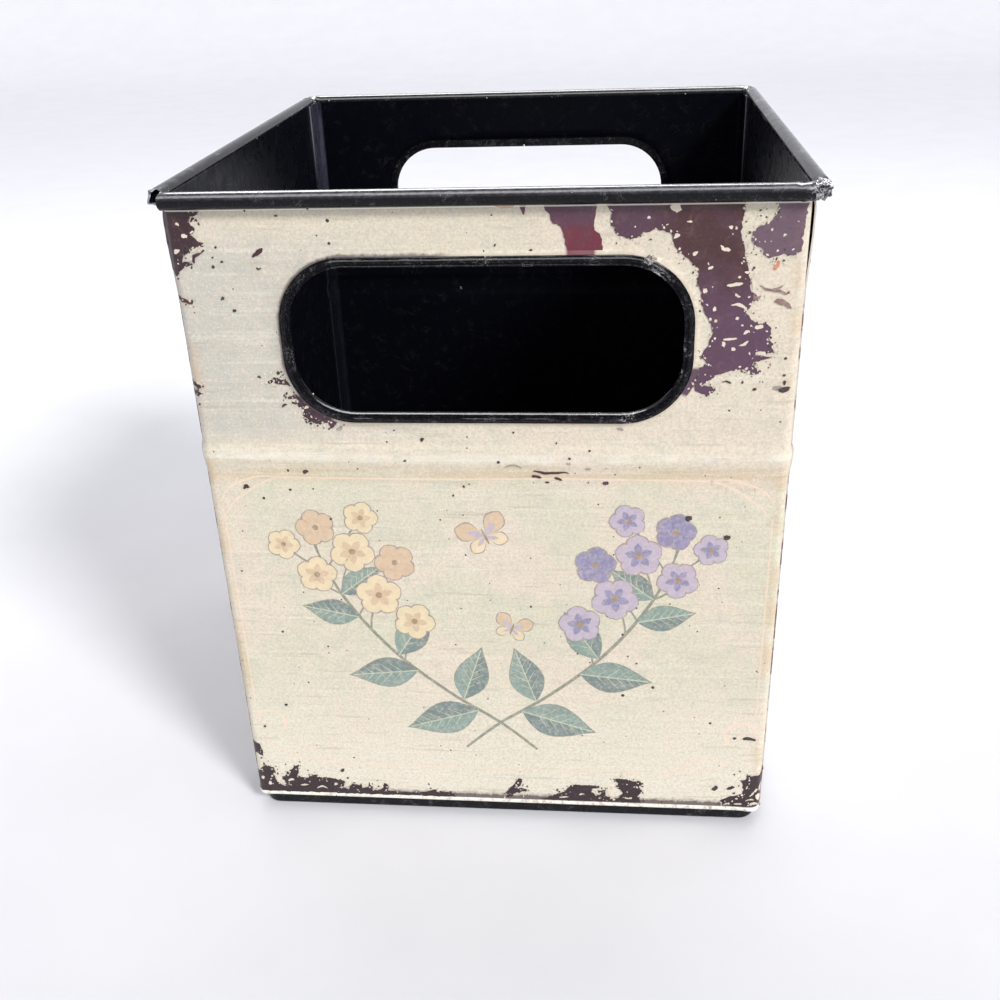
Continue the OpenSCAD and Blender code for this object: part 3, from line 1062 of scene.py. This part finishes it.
def leaf_outline(u, z, angle, length, width, peak, sharp, steps=10):
    """A leaf or petal: pointed ends where sharp is over 1, widest where peak says."""
    half = []
    for i in range(1, steps):
        t = i / steps
        half.append((length * t, width / 2 * math.sin(math.pi * t ** peak) ** sharp))
    flat = [(0, 0)] + half + [(length, 0)] + [(x, -y) for x, y in reversed(half)]
    return moved(flat, u, z, angle)


def draw_leaf(films, u, z, angle, length):
    """An ovate leaf with a shaded half, a midrib and side veins."""
    width = 0.5 * length
    films.add(leaf_outline(u, z, angle, length + 0.5, width + 0.5, 0.8, 1.2), stem_ink, 2)
    films.add(leaf_outline(u, z, angle, length, width, 0.8, 1.2), leaf_ink, 3)
    whole = leaf_outline(0, 0, 0, length, width, 0.8, 1.2)
    lower = [(0, 0)] + [p for p in whole if p[1] < 0][::-1] + [(length, 0)]
    films.add(moved(lower, u, z, angle), leaf_dark, 4)
    midrib = moved([(t * length, 0.0) for t in (0.0, 0.5, 0.97)], u, z, angle)
    films.add(stroke(midrib, 0.35), vein_ink, 5)
    for i in range(1, 6):
        for side in (-1, 1):
            start = length * (0.1 + 0.14 * i)
            reach = 0.34 * width * math.sin(math.pi * (0.2 + 0.13 * i))
            vein = moved(((start, 0.0), (start + reach, side * reach * 0.95)), u, z, angle)
            films.add(stroke(vein, 0.22, 1.0, 0.4), vein_ink, 5)


def draw_flower(films, u, z, size, turn, light, dark, level=6):
    """Five round petals, each with a shaded foot, about a small heart."""
    for i in range(5):
        angle = turn + 72 * i
        films.add(leaf_outline(u, z, angle, size + 0.22, 0.98 * size, 1.6, 0.7), outline_ink, level)
        films.add(leaf_outline(u, z, angle, size, 0.86 * size, 1.6, 0.7), light, level + 1)
        films.add(leaf_outline(u, z, angle, 0.62 * size, 0.34 * size, 1.1, 0.9), dark, level + 2)
    films.add(blob(u, z, 0.3 * size, 0.3 * size), heart_ink, level + 3)


# Leaves are given as u, z, angle and length, flowers and butterflies as u, z, size and turn
SPRAY_STEM = ((-10, 24), (0, 33), (14, 43), (29, 57), (41, 74), (48, 92))
SPRAY_LEAVES = ((6, 37, -18, 21), (10, 40.5, 108, 18), (22, 50, -6, 19),
                (27, 55, 122, 17), (37, 67, 12, 15), (41, 74, 142, 14))
SPRAY_FLOWERS = ((22, 66, 5.6, 10), (31, 74, 6.2, 40), (26, 84, 5.4, 62), (37, 87, 6, 5),
                 (47, 80, 5.4, 30), (46, 94, 5.2, 55), (34, 97, 4.6, 20), (55, 89, 4.4, 12))
BUTTERFLIES = ((-2, 92, 8, 24), (4, 64, 6, -18))


def draw_spray(films, flip, light, dark, accent):
    stem = smooth_line(SPRAY_STEM)
    films.add(mirrored(stroke(stem, 0.9, 0.8, 0.4), flip), stem_ink, 2)
    sign = -1 if flip else 1
    for u, z, angle, length in SPRAY_LEAVES:
        draw_leaf(films, sign * u, z, 180 - angle if flip else angle, length)
    for i, (u, z, size, turn) in enumerate(SPRAY_FLOWERS):
        foot = min(stem, key=lambda spot: math.dist(spot, (u + 3, z - 12)))
        stalk = smooth_line([foot, ((foot[0] + u) / 2 + 0.8, (foot[1] + z) / 2 - 0.6), (u, z)])
        films.add(mirrored(stroke(stalk, 0.5), flip), stem_ink, 2)
        inks = (accent, dark) if i % 3 == 2 else (light, dark)
        draw_flower(films, sign * u, z, size, turn + 20 * sign, *inks)


def draw_butterfly(films, u, z, size, turn):
    for side in (-1, 1):
        for spread, share, ink in ((38, 1.0, tan_ink), (-32, 0.72, cream_ink)):
            angle = turn + 90 + side * (90 - spread)
            wing = share * size
            films.add(leaf_outline(u, z, angle, wing + 0.3, 0.72 * wing, 1.5, 0.8), outline_ink, 2)
            films.add(leaf_outline(u, z, angle, wing, 0.62 * wing, 1.5, 0.8), ink, 3)
            films.add(leaf_outline(u, z, angle, 0.6 * wing, 0.2 * wing, 1.2, 0.9), lilac_ink, 4)
    films.add(blob(u, z, 0.6, 0.62 * size, turn), heart_ink, 5)


def draw_sprays(films):
    draw_spray(films, True, cream_ink, tan_ink, tan_ink)
    draw_spray(films, False, lilac_ink, blue_ink, blue_ink)
    for u, z, size, turn in BUTTERFLIES:
        draw_butterfly(films, u, z, size, turn)


# Wear on the front wall, as outlines in (u, z)

WEAR_TOP_LEFT = [
    (-73.4, 176.5), (-64, 176.5), (-64, 175), (-65, 174.3), (-66.2, 174.2), (-66.3, 172.5), (-65.5, 171),
    (-66, 170.3), (-67, 170), (-65.5, 168.7), (-64.4, 168), (-64.5, 167.3), (-66, 167.2), (-67.7, 166.8),
    (-67.4, 165.6), (-69.3, 165.2), (-69.8, 163.8), (-68, 163.5), (-68.2, 163), (-69.3, 162.5),
    (-70.5, 161.8), (-71.2, 160.5), (-71.8, 160.3), (-73.4, 162),
]
WEAR_STREAK = [
    (-67, 165.4), (-65, 165.9), (-64.3, 166.6), (-64, 166.3), (-65.5, 165.2), (-66.6, 164.6),
    (-66.8, 163.4), (-67.3, 163.9),
]
WEAR_EDGE_CHIPS = (
    [(-73.4, 155.6), (-70.8, 155.2), (-69, 154.3), (-69.1, 153.5), (-70.5, 153.8), (-72, 154.6),
     (-73.4, 154.9)],
    [(-73.4, 134.3), (-71.4, 133.8), (-70.2, 133.2), (-70.1, 132.5), (-71.3, 132.5), (-72, 132.9),
     (-73.4, 133)],
    [(-73.2, 132), (-71.6, 131.8), (-70.3, 131), (-71, 130.5), (-72.3, 130.8), (-73.2, 131)],
    [(-73.4, 23), (-71.6, 23.2), (-70, 22.5), (-69.6, 20), (-69.7, 18.5), (-71.5, 19.5), (-73.4, 19)],
)
WEAR_HOLE_ARM = [
    (-53, 134.2), (-52, 134.9), (-51.4, 135.3), (-50.8, 134.9), (-50, 134.8), (-48.8, 134.3),
    (-46.5, 133.5), (-45, 133.2), (-45.2, 132.5), (-46.4, 132.6), (-50, 133.6), (-51.5, 133.5),
    (-52.7, 133.7),
]
WEAR_HOLE_LOW = [
    (-45.5, 131.5), (-46.8, 130.8), (-48.7, 130.2), (-49, 129.8), (-48.2, 129.6), (-46.5, 130),
    (-46.6, 128.9), (-48.2, 128.8), (-48.2, 128.5), (-46.6, 128.4), (-46.3, 127.4), (-45.6, 127.2),
    (-45.4, 126.3), (-45.3, 125), (-44.4, 124.4), (-44.1, 123.2), (-43.5, 123.8), (-42.5, 123.2),
    (-41.5, 122.8), (-41, 123.4), (-39.5, 123.4), (-39, 122.1), (-38.2, 122.3), (-37.2, 123.5),
    (-36, 124.6), (-40, 126.2), (-43, 129), (-44.3, 131),
]
WEAR_TOP_RED = [
    (14, 176.5), (26, 176.5), (25.8, 174), (25.3, 172), (25.5, 170), (26.5, 169), (27.2, 168),
    (27.3, 165.5), (25, 164.5), (19.5, 164.6), (19.3, 166), (18.8, 167), (19, 167.6), (18.5, 169.5),
    (17.8, 171), (16.2, 171.5), (15.5, 173.5), (14.6, 174.5),
]
WEAR_TOP_SMALL = [(8.6, 176.5), (10.4, 176.5), (10.2, 174.6), (9.8, 173.4), (9.2, 174.6)]
OCHRE_TOP = [(0.5, 176.5), (8.4, 176.5), (7.6, 175.2), (5.2, 175.0), (3.0, 175.7)]
WEAR_RIGHT = [
    (27, 176.5), (29, 174.2), (29, 171.5), (30, 170), (30.7, 168.7), (33.5, 167.8), (34.5, 168),
    (36, 169.2), (37.2, 169.3), (38.8, 170.2), (40, 169.8), (42.3, 169.3), (42.8, 167), (44, 165),
    (46, 163.5), (48, 162), (48.8, 160), (48.5, 158), (49.2, 156), (49.6, 153), (50.5, 150.5),
    (51.7, 148.5), (52.3, 147), (52.4, 145.5), (51.2, 142.5), (50.5, 141.5), (50.3, 140), (51.5, 139),
    (50, 137.5), (49.5, 135.5), (49, 134), (49.2, 132), (50.8, 131), (52.5, 130.8), (53.6, 131.8),
    (52.8, 133), (50.9, 133.2), (51.5, 134), (53, 135), (54, 135.8), (56, 136.7), (58, 137), (60, 137.5),
    (61, 136.3), (62.5, 135.8), (63.5, 136.2), (62.5, 138), (61.8, 138.7), (63, 139.2), (66.2, 140),
    (62, 140.7), (64.5, 141.3), (66.5, 141.3), (66, 142.5), (66.5, 143.5), (65.1, 144.5), (65.7, 147),
    (64.5, 148.3), (62.5, 148.3), (61, 149), (59.5, 151), (60.6, 151.9), (61, 153.5), (62.3, 154),
    (60.4, 156), (60.2, 158), (59.4, 161.5), (58.8, 163.5), (58.3, 166), (57.5, 168.5), (57.5, 171),
    (58, 173), (58.2, 176.5),
]
WEAR_CORNER = [
    (65.3, 176.5), (65, 173), (63.5, 171.5), (61, 170), (60, 169.2), (59.8, 167.5), (60.5, 166),
    (62.2, 165.3), (62.6, 164), (64.2, 163.4), (66, 163.8), (67, 164.2), (69, 163.8), (70.8, 165),
    (71, 170), (71.2, 173), (71.8, 176.5),
]
WEAR_LOW_LEFT = [
    (-73.2, 5.4), (-73.4, 12), (-71.2, 13), (-70.8, 14), (-69.7, 14.9), (-68.3, 14.7), (-67, 14),
    (-66.8, 12.8), (-67.8, 12), (-67.2, 10.5), (-66.7, 9), (-65, 7.3), (-63.5, 7), (-64.5, 9.5),
    (-65, 10.8), (-64, 11), (-63.4, 12.5), (-61, 14.7), (-60, 15.3), (-60, 13), (-60.5, 11.5), (-59, 11),
    (-57.6, 10.8), (-55.5, 12), (-54.5, 11.8), (-54, 10.9), (-52, 11), (-50, 11), (-48, 10.3), (-46.5, 10),
    (-46.5, 8.5), (-47.5, 7.5), (-45.8, 6.8), (-44.5, 9), (-42.5, 8.5), (-41.5, 9.5), (-41.5, 7.5),
    (-39.5, 8), (-39.2, 9.8), (-38.5, 7), (-36, 7.2), (-35.3, 8.5), (-34.6, 9.7), (-33.8, 9.2), (-34, 7),
    (-32, 6.5), (-25, 6.3), (-23, 7), (-20, 8), (-18, 7.2), (-15, 6.8), (-14, 5.6), (-40, 5.5),
]
WEAR_LOW_BAR = [
    (1, 6.2), (0.7, 8), (3, 11), (4.5, 13), (5.5, 12.7), (5, 10.8), (3.6, 9), (5, 9.7), (6.8, 9.2),
    (6.5, 8.5), (3.6, 8.1), (2.2, 6.4),
]
WEAR_LOW_MIDDLE = [
    (11, 5.8), (14, 7), (15, 8), (17.7, 8.8), (18, 10), (20, 11.5), (24, 11.5), (27, 11.3), (27.5, 10.8),
    (25, 10.2), (25.3, 9), (26.5, 7.8), (27.5, 8), (27, 9.7), (28.8, 9.7), (29, 8), (31, 6.8), (33, 7),
    (34, 9), (33.8, 10), (31.9, 11.5), (32.8, 12.5), (31.5, 13.8), (32.5, 14.3), (35, 14), (37, 13.3),
    (38.5, 13.5), (40, 12.8), (38.5, 11.8), (39.5, 10), (38.6, 8.5), (39, 5.8),
]
WEAR_LOW_RIGHT = [
    (61.5, 7.6), (63, 8.5), (64, 9.3), (66, 9.5), (67.3, 10), (67.6, 11.5), (67.5, 13), (66.8, 15),
    (68.3, 15.5), (68.7, 17), (70, 16.7), (72, 17), (73.6, 18), (73.6, 7), (70, 6), (66, 5.8), (62.5, 6),
]

# Chips as u, z, width, height and turn: print left inside the wear, dulled spots, and dark spots
LEFT_PRINT = (
    (43.2, 174.8, 2.4, 2.2, 60), (56.7, 157.4, 3.6, 0.8, 8), (50.3, 156, 1.2, 1, 30),
    (58.2, 152.3, 3.8, 0.7, -20), (57.8, 149.5, 0.9, 0.8, 0), (62.8, 147.5, 2, 1, 10),
    (56.5, 144.6, 3.2, 0.5, 6), (55, 143.4, 0.8, 1.4, 20), (59.6, 143.5, 2.4, 0.7, 30),
    (57.3, 142.2, 0.9, 0.7, 0), (63.7, 141.1, 2.6, 0.9, -6), (54.2, 165.6, 2.6, 0.9, -25),
    (47.7, 164.5, 1.3, 0.8, 40), (43.5, 168.5, 1.5, 1, 35), (55.2, 170.3, 0.9, 0.8, 0),
    (-68.2, 169.8, 1.3, 1.1, 20), (-44.1, 127.8, 2.4, 0.7, 35), (70.4, 10.8, 3.4, 0.4, 55),
    (69.5, 8.3, 2.6, 0.4, 15), (72, 9.4, 1.6, 2.2, 10), (70.6, 6.9, 3, 0.8, 8), (72.6, 12.6, 0.9, 3, -6),
    (66.4, 6.7, 2.4, 0.6, 4), (63.4, 6.5, 1.8, 0.5, 0), (71.3, 11.6, 0.6, 1.4, -30),
    (68.6, 12.6, 1.2, 0.5, 70), (60.8, 157.5, 0.5, 2.6, 12), (58.4, 173.2, 1.2, 0.8, 40),
    (59.3, 160.2, 1, 0.7, 0), (59, 164.8, 0.9, 0.7, 20), (57.6, 154.8, 1.4, 0.6, -30),
    (60.1, 146.2, 1.6, 0.7, 15), (52.6, 151.8, 1.1, 0.8, 60), (51.3, 161.3, 1.3, 0.5, 20),
    (46.2, 171.6, 1, 0.5, 0), (37.4, 172.6, 0.8, 0.5, 0), (66.9, 168.4, 0.9, 0.5, 30),
    (-70.6, 166.2, 1.4, 0.9, 40), (-69.4, 172.4, 1, 0.6, -20), (-62.4, 9.9, 1.8, 0.9, 20),
    (-58.6, 8.2, 2.4, 0.6, 5), (-53.4, 7.4, 3.2, 0.5, 0), (-49.2, 8.8, 1.2, 0.8, 30),
    (-70.8, 10.4, 1.2, 0.8, 60), (-68.9, 8.4, 0.9, 1.4, 0), (22.4, 8.2, 1.6, 0.6, 10),
    (30.2, 9.2, 1, 1.6, 20), (35.6, 7.4, 2.2, 0.5, 0), (17.2, 6.9, 2.6, 0.5, 4),
)
FAINT_CHIPS = (
    (5.7, 112, 4.2, 0.4, -1), (24.2, 111.5, 1.6, 0.6, 4), (19.4, 112.9, 0.9, 0.7, 0),
    (31.7, 122, 1.6, 0.7, -12), (68, 132.6, 2.2, 1, 10), (-36.8, 121.9, 1.8, 1, 30),
)
STRAY_CHIPS = (
    (-16.5, 119.2, 1.1, 0.6, 0), (-16.6, 118.8, 0.5, 0.9, 0), (-21.1, 113.4, 0.6, 0.5, 0),
    (-6.9, 106.2, 0.6, 0.5, 0), (-9.6, 103.7, 0.5, 0.4, 0), (19.5, 114.3, 0.7, 0.5, 10),
    (24.4, 116.4, 0.5, 0.5, 0), (6, 121.1, 0.5, 0.4, 0), (16.4, 118.2, 0.4, 0.4, 0),
    (24.2, 107.6, 0.4, 0.4, 0), (-61.3, 167, 0.8, 0.5, 20), (-60.3, 163.6, 0.6, 0.5, 0),
    (-52, 162, 0.9, 0.5, -20), (-61.4, 154.9, 0.9, 0.6, 30), (-59, 152, 1, 0.7, 10),
    (-46.3, 174, 0.7, 0.5, 0), (-55.3, 135.4, 0.9, 0.6, 0), (-71.2, 128.2, 0.6, 0.5, 0),
    (-49.9, 127.9, 1.4, 0.6, 25), (-46.8, 14, 1.2, 0.9, 30), (59.9, 12, 1.2, 2, -35),
    (64.1, 12.2, 2.4, 0.9, 25), (11.2, 165.6, 0.7, 0.6, 0), (69.3, 135.8, 0.7, 0.6, 0),
    (69.5, 134, 0.6, 0.9, 0), (56.3, 134.1, 2.2, 0.4, -10), (62.8, 132.3, 1, 0.6, 10),
    (69.4, 132.3, 2.9, 1.3, 8), (-46.8, 110, 1.4, 1, 10), (-51.2, 104.8, 0.8, 0.7, 0),
    (-67.9, 29.2, 0.8, 0.6, 0), (48.9, 98, 1.5, 1.5, 0), (58.6, 92.8, 1.7, 1.5, 15),
    (64.2, 29.8, 0.7, 0.7, 0), (68.3, 29.7, 3.8, 0.9, -6), (-41.6, 96.6, 0.7, 0.6, 0),
    (-60.7, 37, 0.7, 0.6, 0), (-5, 157, 0.5, 0.4, 0), (3.2, 166.9, 0.5, 0.5, 0),
)
RED_CHIPS = ((-51.6, 165.7, 3.4, 1.0, 38), (-62.6, 105.6, 1.5, 1.3, 20))
ORANGE_CHIP = (65.7, 161.7, 1.0, 2.3, -20)

# Scratches below the ridge, each a line and its width, and smears right of the hole
RIDGE_SCRATCHES = (
    (((10.7, 110.7), (12, 110.5), (13.4, 110.1), (15.2, 110.2), (17.3, 110.3), (19.4, 110.2)), 0.55),
    (((10.2, 109.3), (11.3, 109.2), (12.6, 108.8)), 0.6),
    (((15.9, 108.8), (16.8, 108.6), (17.7, 108.2)), 0.5),
    (((13.6, 107.7), (14.1, 107.6), (14.5, 107.6)), 0.4),
    (((27.8, 107.4), (28.4, 107.5), (29.2, 107.6)), 0.75),
)
RIGHT_SMEARS = (
    [(62.4, 157.2), (63.6, 156.6), (65, 156.3), (66.4, 156.6), (67.6, 157.2), (66.6, 156.2), (68.2, 155.4),
     (69, 155.9), (68.4, 154.9), (66.8, 155.4), (65.2, 155.7), (63.4, 156.1)],
    [(65.6, 153.4), (66.6, 154.1), (67.8, 153.8), (69.2, 152.9), (69.8, 151.8), (68.8, 151.9), (68, 152.6),
     (66.6, 152.8)],
    [(61, 155.2), (61.9, 154.5), (62.8, 154.8), (62.2, 153.6), (61.2, 153.9)],
)

# Sizes of flecks, how much chips bend and flakes vary, and where paint ends below the roll
SCATTER_SIZE = (0.18, 0.7)
CHIP_CURVE = 1.6
FLAKE_UNEVEN = 1.3
UNDER_RIM = 176.5

# Wear of the walls that the photo doesn't show: how many flakes and spots, and where no spot lies
HEM_FLAKES = 30
SIDE_FLAKES = 14
RIM_FLAKES = 4
SPOTS = 40
CLEAR_U = 55
CLEAR_LOW, CLEAR_HIGH = 118, 168


def scatter(films, outline, count, seed):
    """Small flecks near an outline: dark chips and left print, picked at random."""
    pick = random.Random(seed)
    for _ in range(count):
        u, z = pick.choice(outline)
        u += pick.gauss(0, 1.1)
        z += pick.gauss(0, 1.1)
        if z < WALL_LOW + 2 or z > RIM_TOP - 2 * RIM_R - 0.5 or abs(u) > films.half - 1:
            continue
        size = pick.uniform(*SCATTER_SIZE)
        material, level = ((dark_chip, WORN_LEVEL), (chip_ink, LEFT_LEVEL))[pick.random() < 0.6]
        spot = chip(u, z, size, size * pick.uniform(0.4, 1.0), pick.uniform(0, 180), 9)
        films.add(spot, material, level)


def chip(u, z, wide, high, turn, points=18):
    """A small chip, bent a little and with an uneven edge."""
    curve = CHIP_CURVE * noise.noise(Vector((u, z, 0.5)))
    uneven = 0.12 + 0.2 * min(wide, high)
    outline = []
    for x, y in blob(0, 0, wide, high, 0, points):
        push = noise.noise_vector(Vector((2.1 * (x + u), 2.1 * (y + z), wide)))
        y += curve * (x * x / wide - wide / 8) + push.y * uneven
        outline.append((x + push.x * uneven, y))
    return moved(outline, u, z, turn)


def draw_chips(films, places, ink, level):
    for place in places:
        films.add(chip(*place), ink, level)


def draw_front_wear(films):
    worn_patches = (WEAR_TOP_LEFT, WEAR_HOLE_ARM, WEAR_HOLE_LOW, WEAR_RIGHT, WEAR_CORNER, WEAR_LOW_LEFT,
                    WEAR_LOW_BAR, WEAR_LOW_MIDDLE, WEAR_LOW_RIGHT) + WEAR_EDGE_CHIPS
    for seed, outline in enumerate(worn_patches):
        films.add(ragged(outline, 0.42, seed), worn, WORN_LEVEL)
        scatter(films, outline, 4 * len(outline), seed)
    films.add(ragged(WEAR_TOP_RED, 0.28, 50), worn_red, WORN_LEVEL)
    films.add(ragged(WEAR_TOP_SMALL, 0.15, 52), worn_red, WORN_LEVEL)
    films.add(ragged(OCHRE_TOP, 0.15, 53), ochre_ink, WORN_LEVEL)
    films.add(ragged(WEAR_STREAK, 0.12, 51), worn_red, CHIP_LEVEL)
    draw_chips(films, RED_CHIPS, worn_red, CHIP_LEVEL)
    films.add(ragged(blob(*ORANGE_CHIP), 0.15, 3), orange_ink, CHIP_LEVEL)
    draw_chips(films, STRAY_CHIPS, dark_chip, CHIP_LEVEL)
    for seed, outline in enumerate(RIGHT_SMEARS):
        films.add(ragged(outline, 0.2, 60 + seed), smear, CHIP_LEVEL)
    draw_chips(films, FAINT_CHIPS, grey_ink, CHIP_LEVEL)
    for line, width in RIDGE_SCRATCHES:
        scratch = stroke(smooth_line(line), width, 0.4, 0.3)
        films.add(ragged(scratch, 0.14, line[0][0]), worn_low, CHIP_LEVEL)
    draw_chips(films, LEFT_PRINT, chip_ink, LEFT_LEVEL)


def flake(u, z, wide, high, seed):
    """An outline like flaked paint: an oval whose reach is uneven, with a broken edge."""
    outline = []
    for x, y in blob(0, 0, wide, high, 0, 30):
        at = Vector((2.4 * x / wide, 2.4 * y / high, seed))
        reach = 1 + FLAKE_UNEVEN * noise.noise(at) + 0.5 * FLAKE_UNEVEN * noise.noise(at * 2.7)
        outline.append((u + x * reach, z + y * reach))
    return ragged(outline, 0.32, seed)


def draw_edge_wear(films, seed):
    """Wear on a wall the photo doesn't show: flaked along the hem, the corners and under the rim."""
    pick = random.Random(seed)
    reach = min(films.half, WALL_X) - 1
    for i in range(HEM_FLAKES):
        u, wide, high = pick.uniform(2 - reach, reach - 2), pick.uniform(2, 12), pick.uniform(1.5, 6.0)
        films.add(flake(u, 5.6 + 0.3 * high, wide, high, 10 * seed + i), worn, WORN_LEVEL)
    for i in range(SIDE_FLAKES):
        u, z = pick.choice((-1, 1)) * (reach - pick.uniform(0.5, 3)), pick.uniform(10, 172)
        films.add(flake(u, z, pick.uniform(0.8, 3), pick.uniform(1, 7), 50 + i), worn, WORN_LEVEL)
    for i in range(RIM_FLAKES):
        u, wide, high = pick.uniform(8 - reach, reach - 8), pick.uniform(5, 16), pick.uniform(5, 14)
        patch = flake(u, 177, wide, high, 90 + 7 * seed + i)
        films.add([(a, min(b, UNDER_RIM)) for a, b in patch], worn, WORN_LEVEL)
        scatter(films, patch, 30, 10 * seed + i)
    for _ in range(SPOTS):
        u, z = pick.uniform(3 - reach, reach - 3), pick.uniform(12, 172)
        if abs(u) < CLEAR_U and CLEAR_LOW < z < CLEAR_HIGH:
            continue
        size = pick.uniform(0.3, 1.0)
        spot = chip(u, z, size, size * pick.uniform(0.4, 1.0), pick.uniform(0, 180))
        films.add(spot, dark_chip, WORN_LEVEL)


def lay_films(draw, half, walls, name):
    """Draws films once and lays them on each of the walls."""
    films = Films(half)
    draw(films)
    films.close()
    for wall in walls:
        films.lay(wall, name)
    films.shape.free()


lay_films(draw_border, WALL_X, (FRONT, BACK), "border")
lay_films(draw_border, WALL_Y, (LEFT, RIGHT), "border")
lay_films(draw_sprays, WALL_X, (FRONT, BACK, LEFT, RIGHT), "sprays")
lay_films(draw_front_wear, WALL_X, (FRONT,), "wear")
for seed, wall in enumerate((BACK, LEFT, RIGHT)):
    half = WALL_X if wall.bent else WALL_Y
    lay_films(lambda films: draw_edge_wear(films, seed), half, (wall,), "wear")


# A crumb of crushed lacquer and solder on the edging, above the hand hole

CRUMB_PLACE = Vector((37.8, -(WALL_Y + 1.25), 163.4))
CRUMB_SIZE = Vector((1.25, 0.75, 1.0))


def draw_crumb():
    shape = bmesh.new()
    bmesh.ops.create_icosphere(shape, subdivisions=4, radius=1.0)
    for vertex in shape.verts:
        p = vertex.co.copy()
        p *= 1 + 0.45 * noise.noise(p * 2.2) + 0.2 * noise.noise(p * 6)
        vertex.co = (CRUMB_PLACE + CRUMB_SIZE * p) * MM
    mesh = to_mesh(shape, "front_edging_crumb")
    g = Graph("crumb")
    tone = g.ramp(g.noise(0.8, 5, 0.7), 0.38, 0.6)
    g.colour = g.mix(tone, rgb(58, 54, 56), rgb(172, 164, 160))
    g.lay(near(g, (38.6, -76, 163.9), 0.1, 0.9), rgb(186, 162, 112))
    g.bsdf.inputs["Roughness"].default_value = 0.45
    g.bump(0.4, 4, 0.7, 0.08, 0.6)
    add_piece("front_edging_crumb", mesh, (g.done(),))


draw_crumb()


# Camera, light and floor; lamps and floor are placed in metres

CAMERA_PLACE = (29.25, -326.4, 231.9)
CAMERA_TURN = (62.89, 1.97, 5.15)
CAMERA_LENS = 40.86


def make_camera():
    camera = to_scene("camera", bpy.data.cameras.new("camera"))
    camera.location = Vector(CAMERA_PLACE) * MM
    camera.rotation_euler = Euler([math.radians(a) for a in CAMERA_TURN])
    camera.data.lens = CAMERA_LENS
    camera.data.sensor_width = 36
    camera.data.clip_start = 0.01
    bpy.context.scene.camera = camera


def make_lamp(name, kind, place, power, aim=(0, 0, 0.09), **settings):
    lamp = bpy.data.lights.new(name, kind)
    lamp.energy = power
    for key, value in settings.items():
        setattr(lamp, key, value)
    holder = to_scene(name, lamp)
    holder.location = place
    holder.rotation_euler = (Vector(aim) - Vector(place)).to_track_quat("-Z", "Y").to_euler()


FLOOR_WIDTH = 300.0
FLOOR_FRONT = -20.0
SWEEP_Y = 1.6
SWEEP_R = 0.8
BACKDROP_TOP = 4.0


def make_floor():
    """A pale floor that sweeps up into a backdrop."""
    profile = [(FLOOR_FRONT, 0.0)]
    for i in range(25):
        angle = math.radians(90 * i / 24)
        profile.append((SWEEP_Y + SWEEP_R * math.sin(angle), SWEEP_R * (1 - math.cos(angle))))
    profile.append((SWEEP_Y + SWEEP_R, BACKDROP_TOP))
    verts = [(x, y, z) for y, z in profile for x in (-FLOOR_WIDTH / 2, FLOOR_WIDTH / 2)]
    faces = [(2 * i, 2 * i + 1, 2 * i + 3, 2 * i + 2) for i in range(len(profile) - 1)]
    mesh = bpy.data.meshes.new("floor")
    mesh.from_pydata(verts, [], faces)
    for face in mesh.polygons:
        face.use_smooth = True
    g = Graph("floor_paper")
    g.colour = g.mix(g.noise(40, 3), rgb(218, 218, 222), rgb(226, 226, 230))
    g.bsdf.inputs["Roughness"].default_value = 0.9
    g.bsdf.inputs["Specular IOR Level"].default_value = 0.1
    mesh.materials.append(g.done())
    floor = to_scene("floor", mesh)


def make_world():
    world = bpy.data.worlds.new("studio")
    bpy.context.scene.world = world
    world.use_nodes = True
    back = world.node_tree.nodes["Background"]
    back.inputs["Color"].default_value = (0.95, 0.96, 1.0, 1)
    back.inputs["Strength"].default_value = 0.55


make_camera()
make_world()
make_floor()
make_lamp("key", "SUN", (0.85, -0.85, 0.96), 2.63, angle=math.radians(14))
make_lamp("top", "AREA", (0.0, 0.5, 0.8), 4, shape="RECTANGLE", size=1.6, size_y=0.4)
make_lamp("gloss", "AREA", (0.1, 0.48, 0.85), 34, shape="RECTANGLE", size=1.1, size_y=0.4)
make_lamp("band", "AREA", (0.1, -0.30, 0.80), 18, shape="RECTANGLE", size=1.1, size_y=0.3)

# These two show only as reflections
for name in ("gloss", "band"):
    bpy.data.objects[name].visible_diffuse = False

bpy.context.scene.view_settings.view_transform = "Standard"
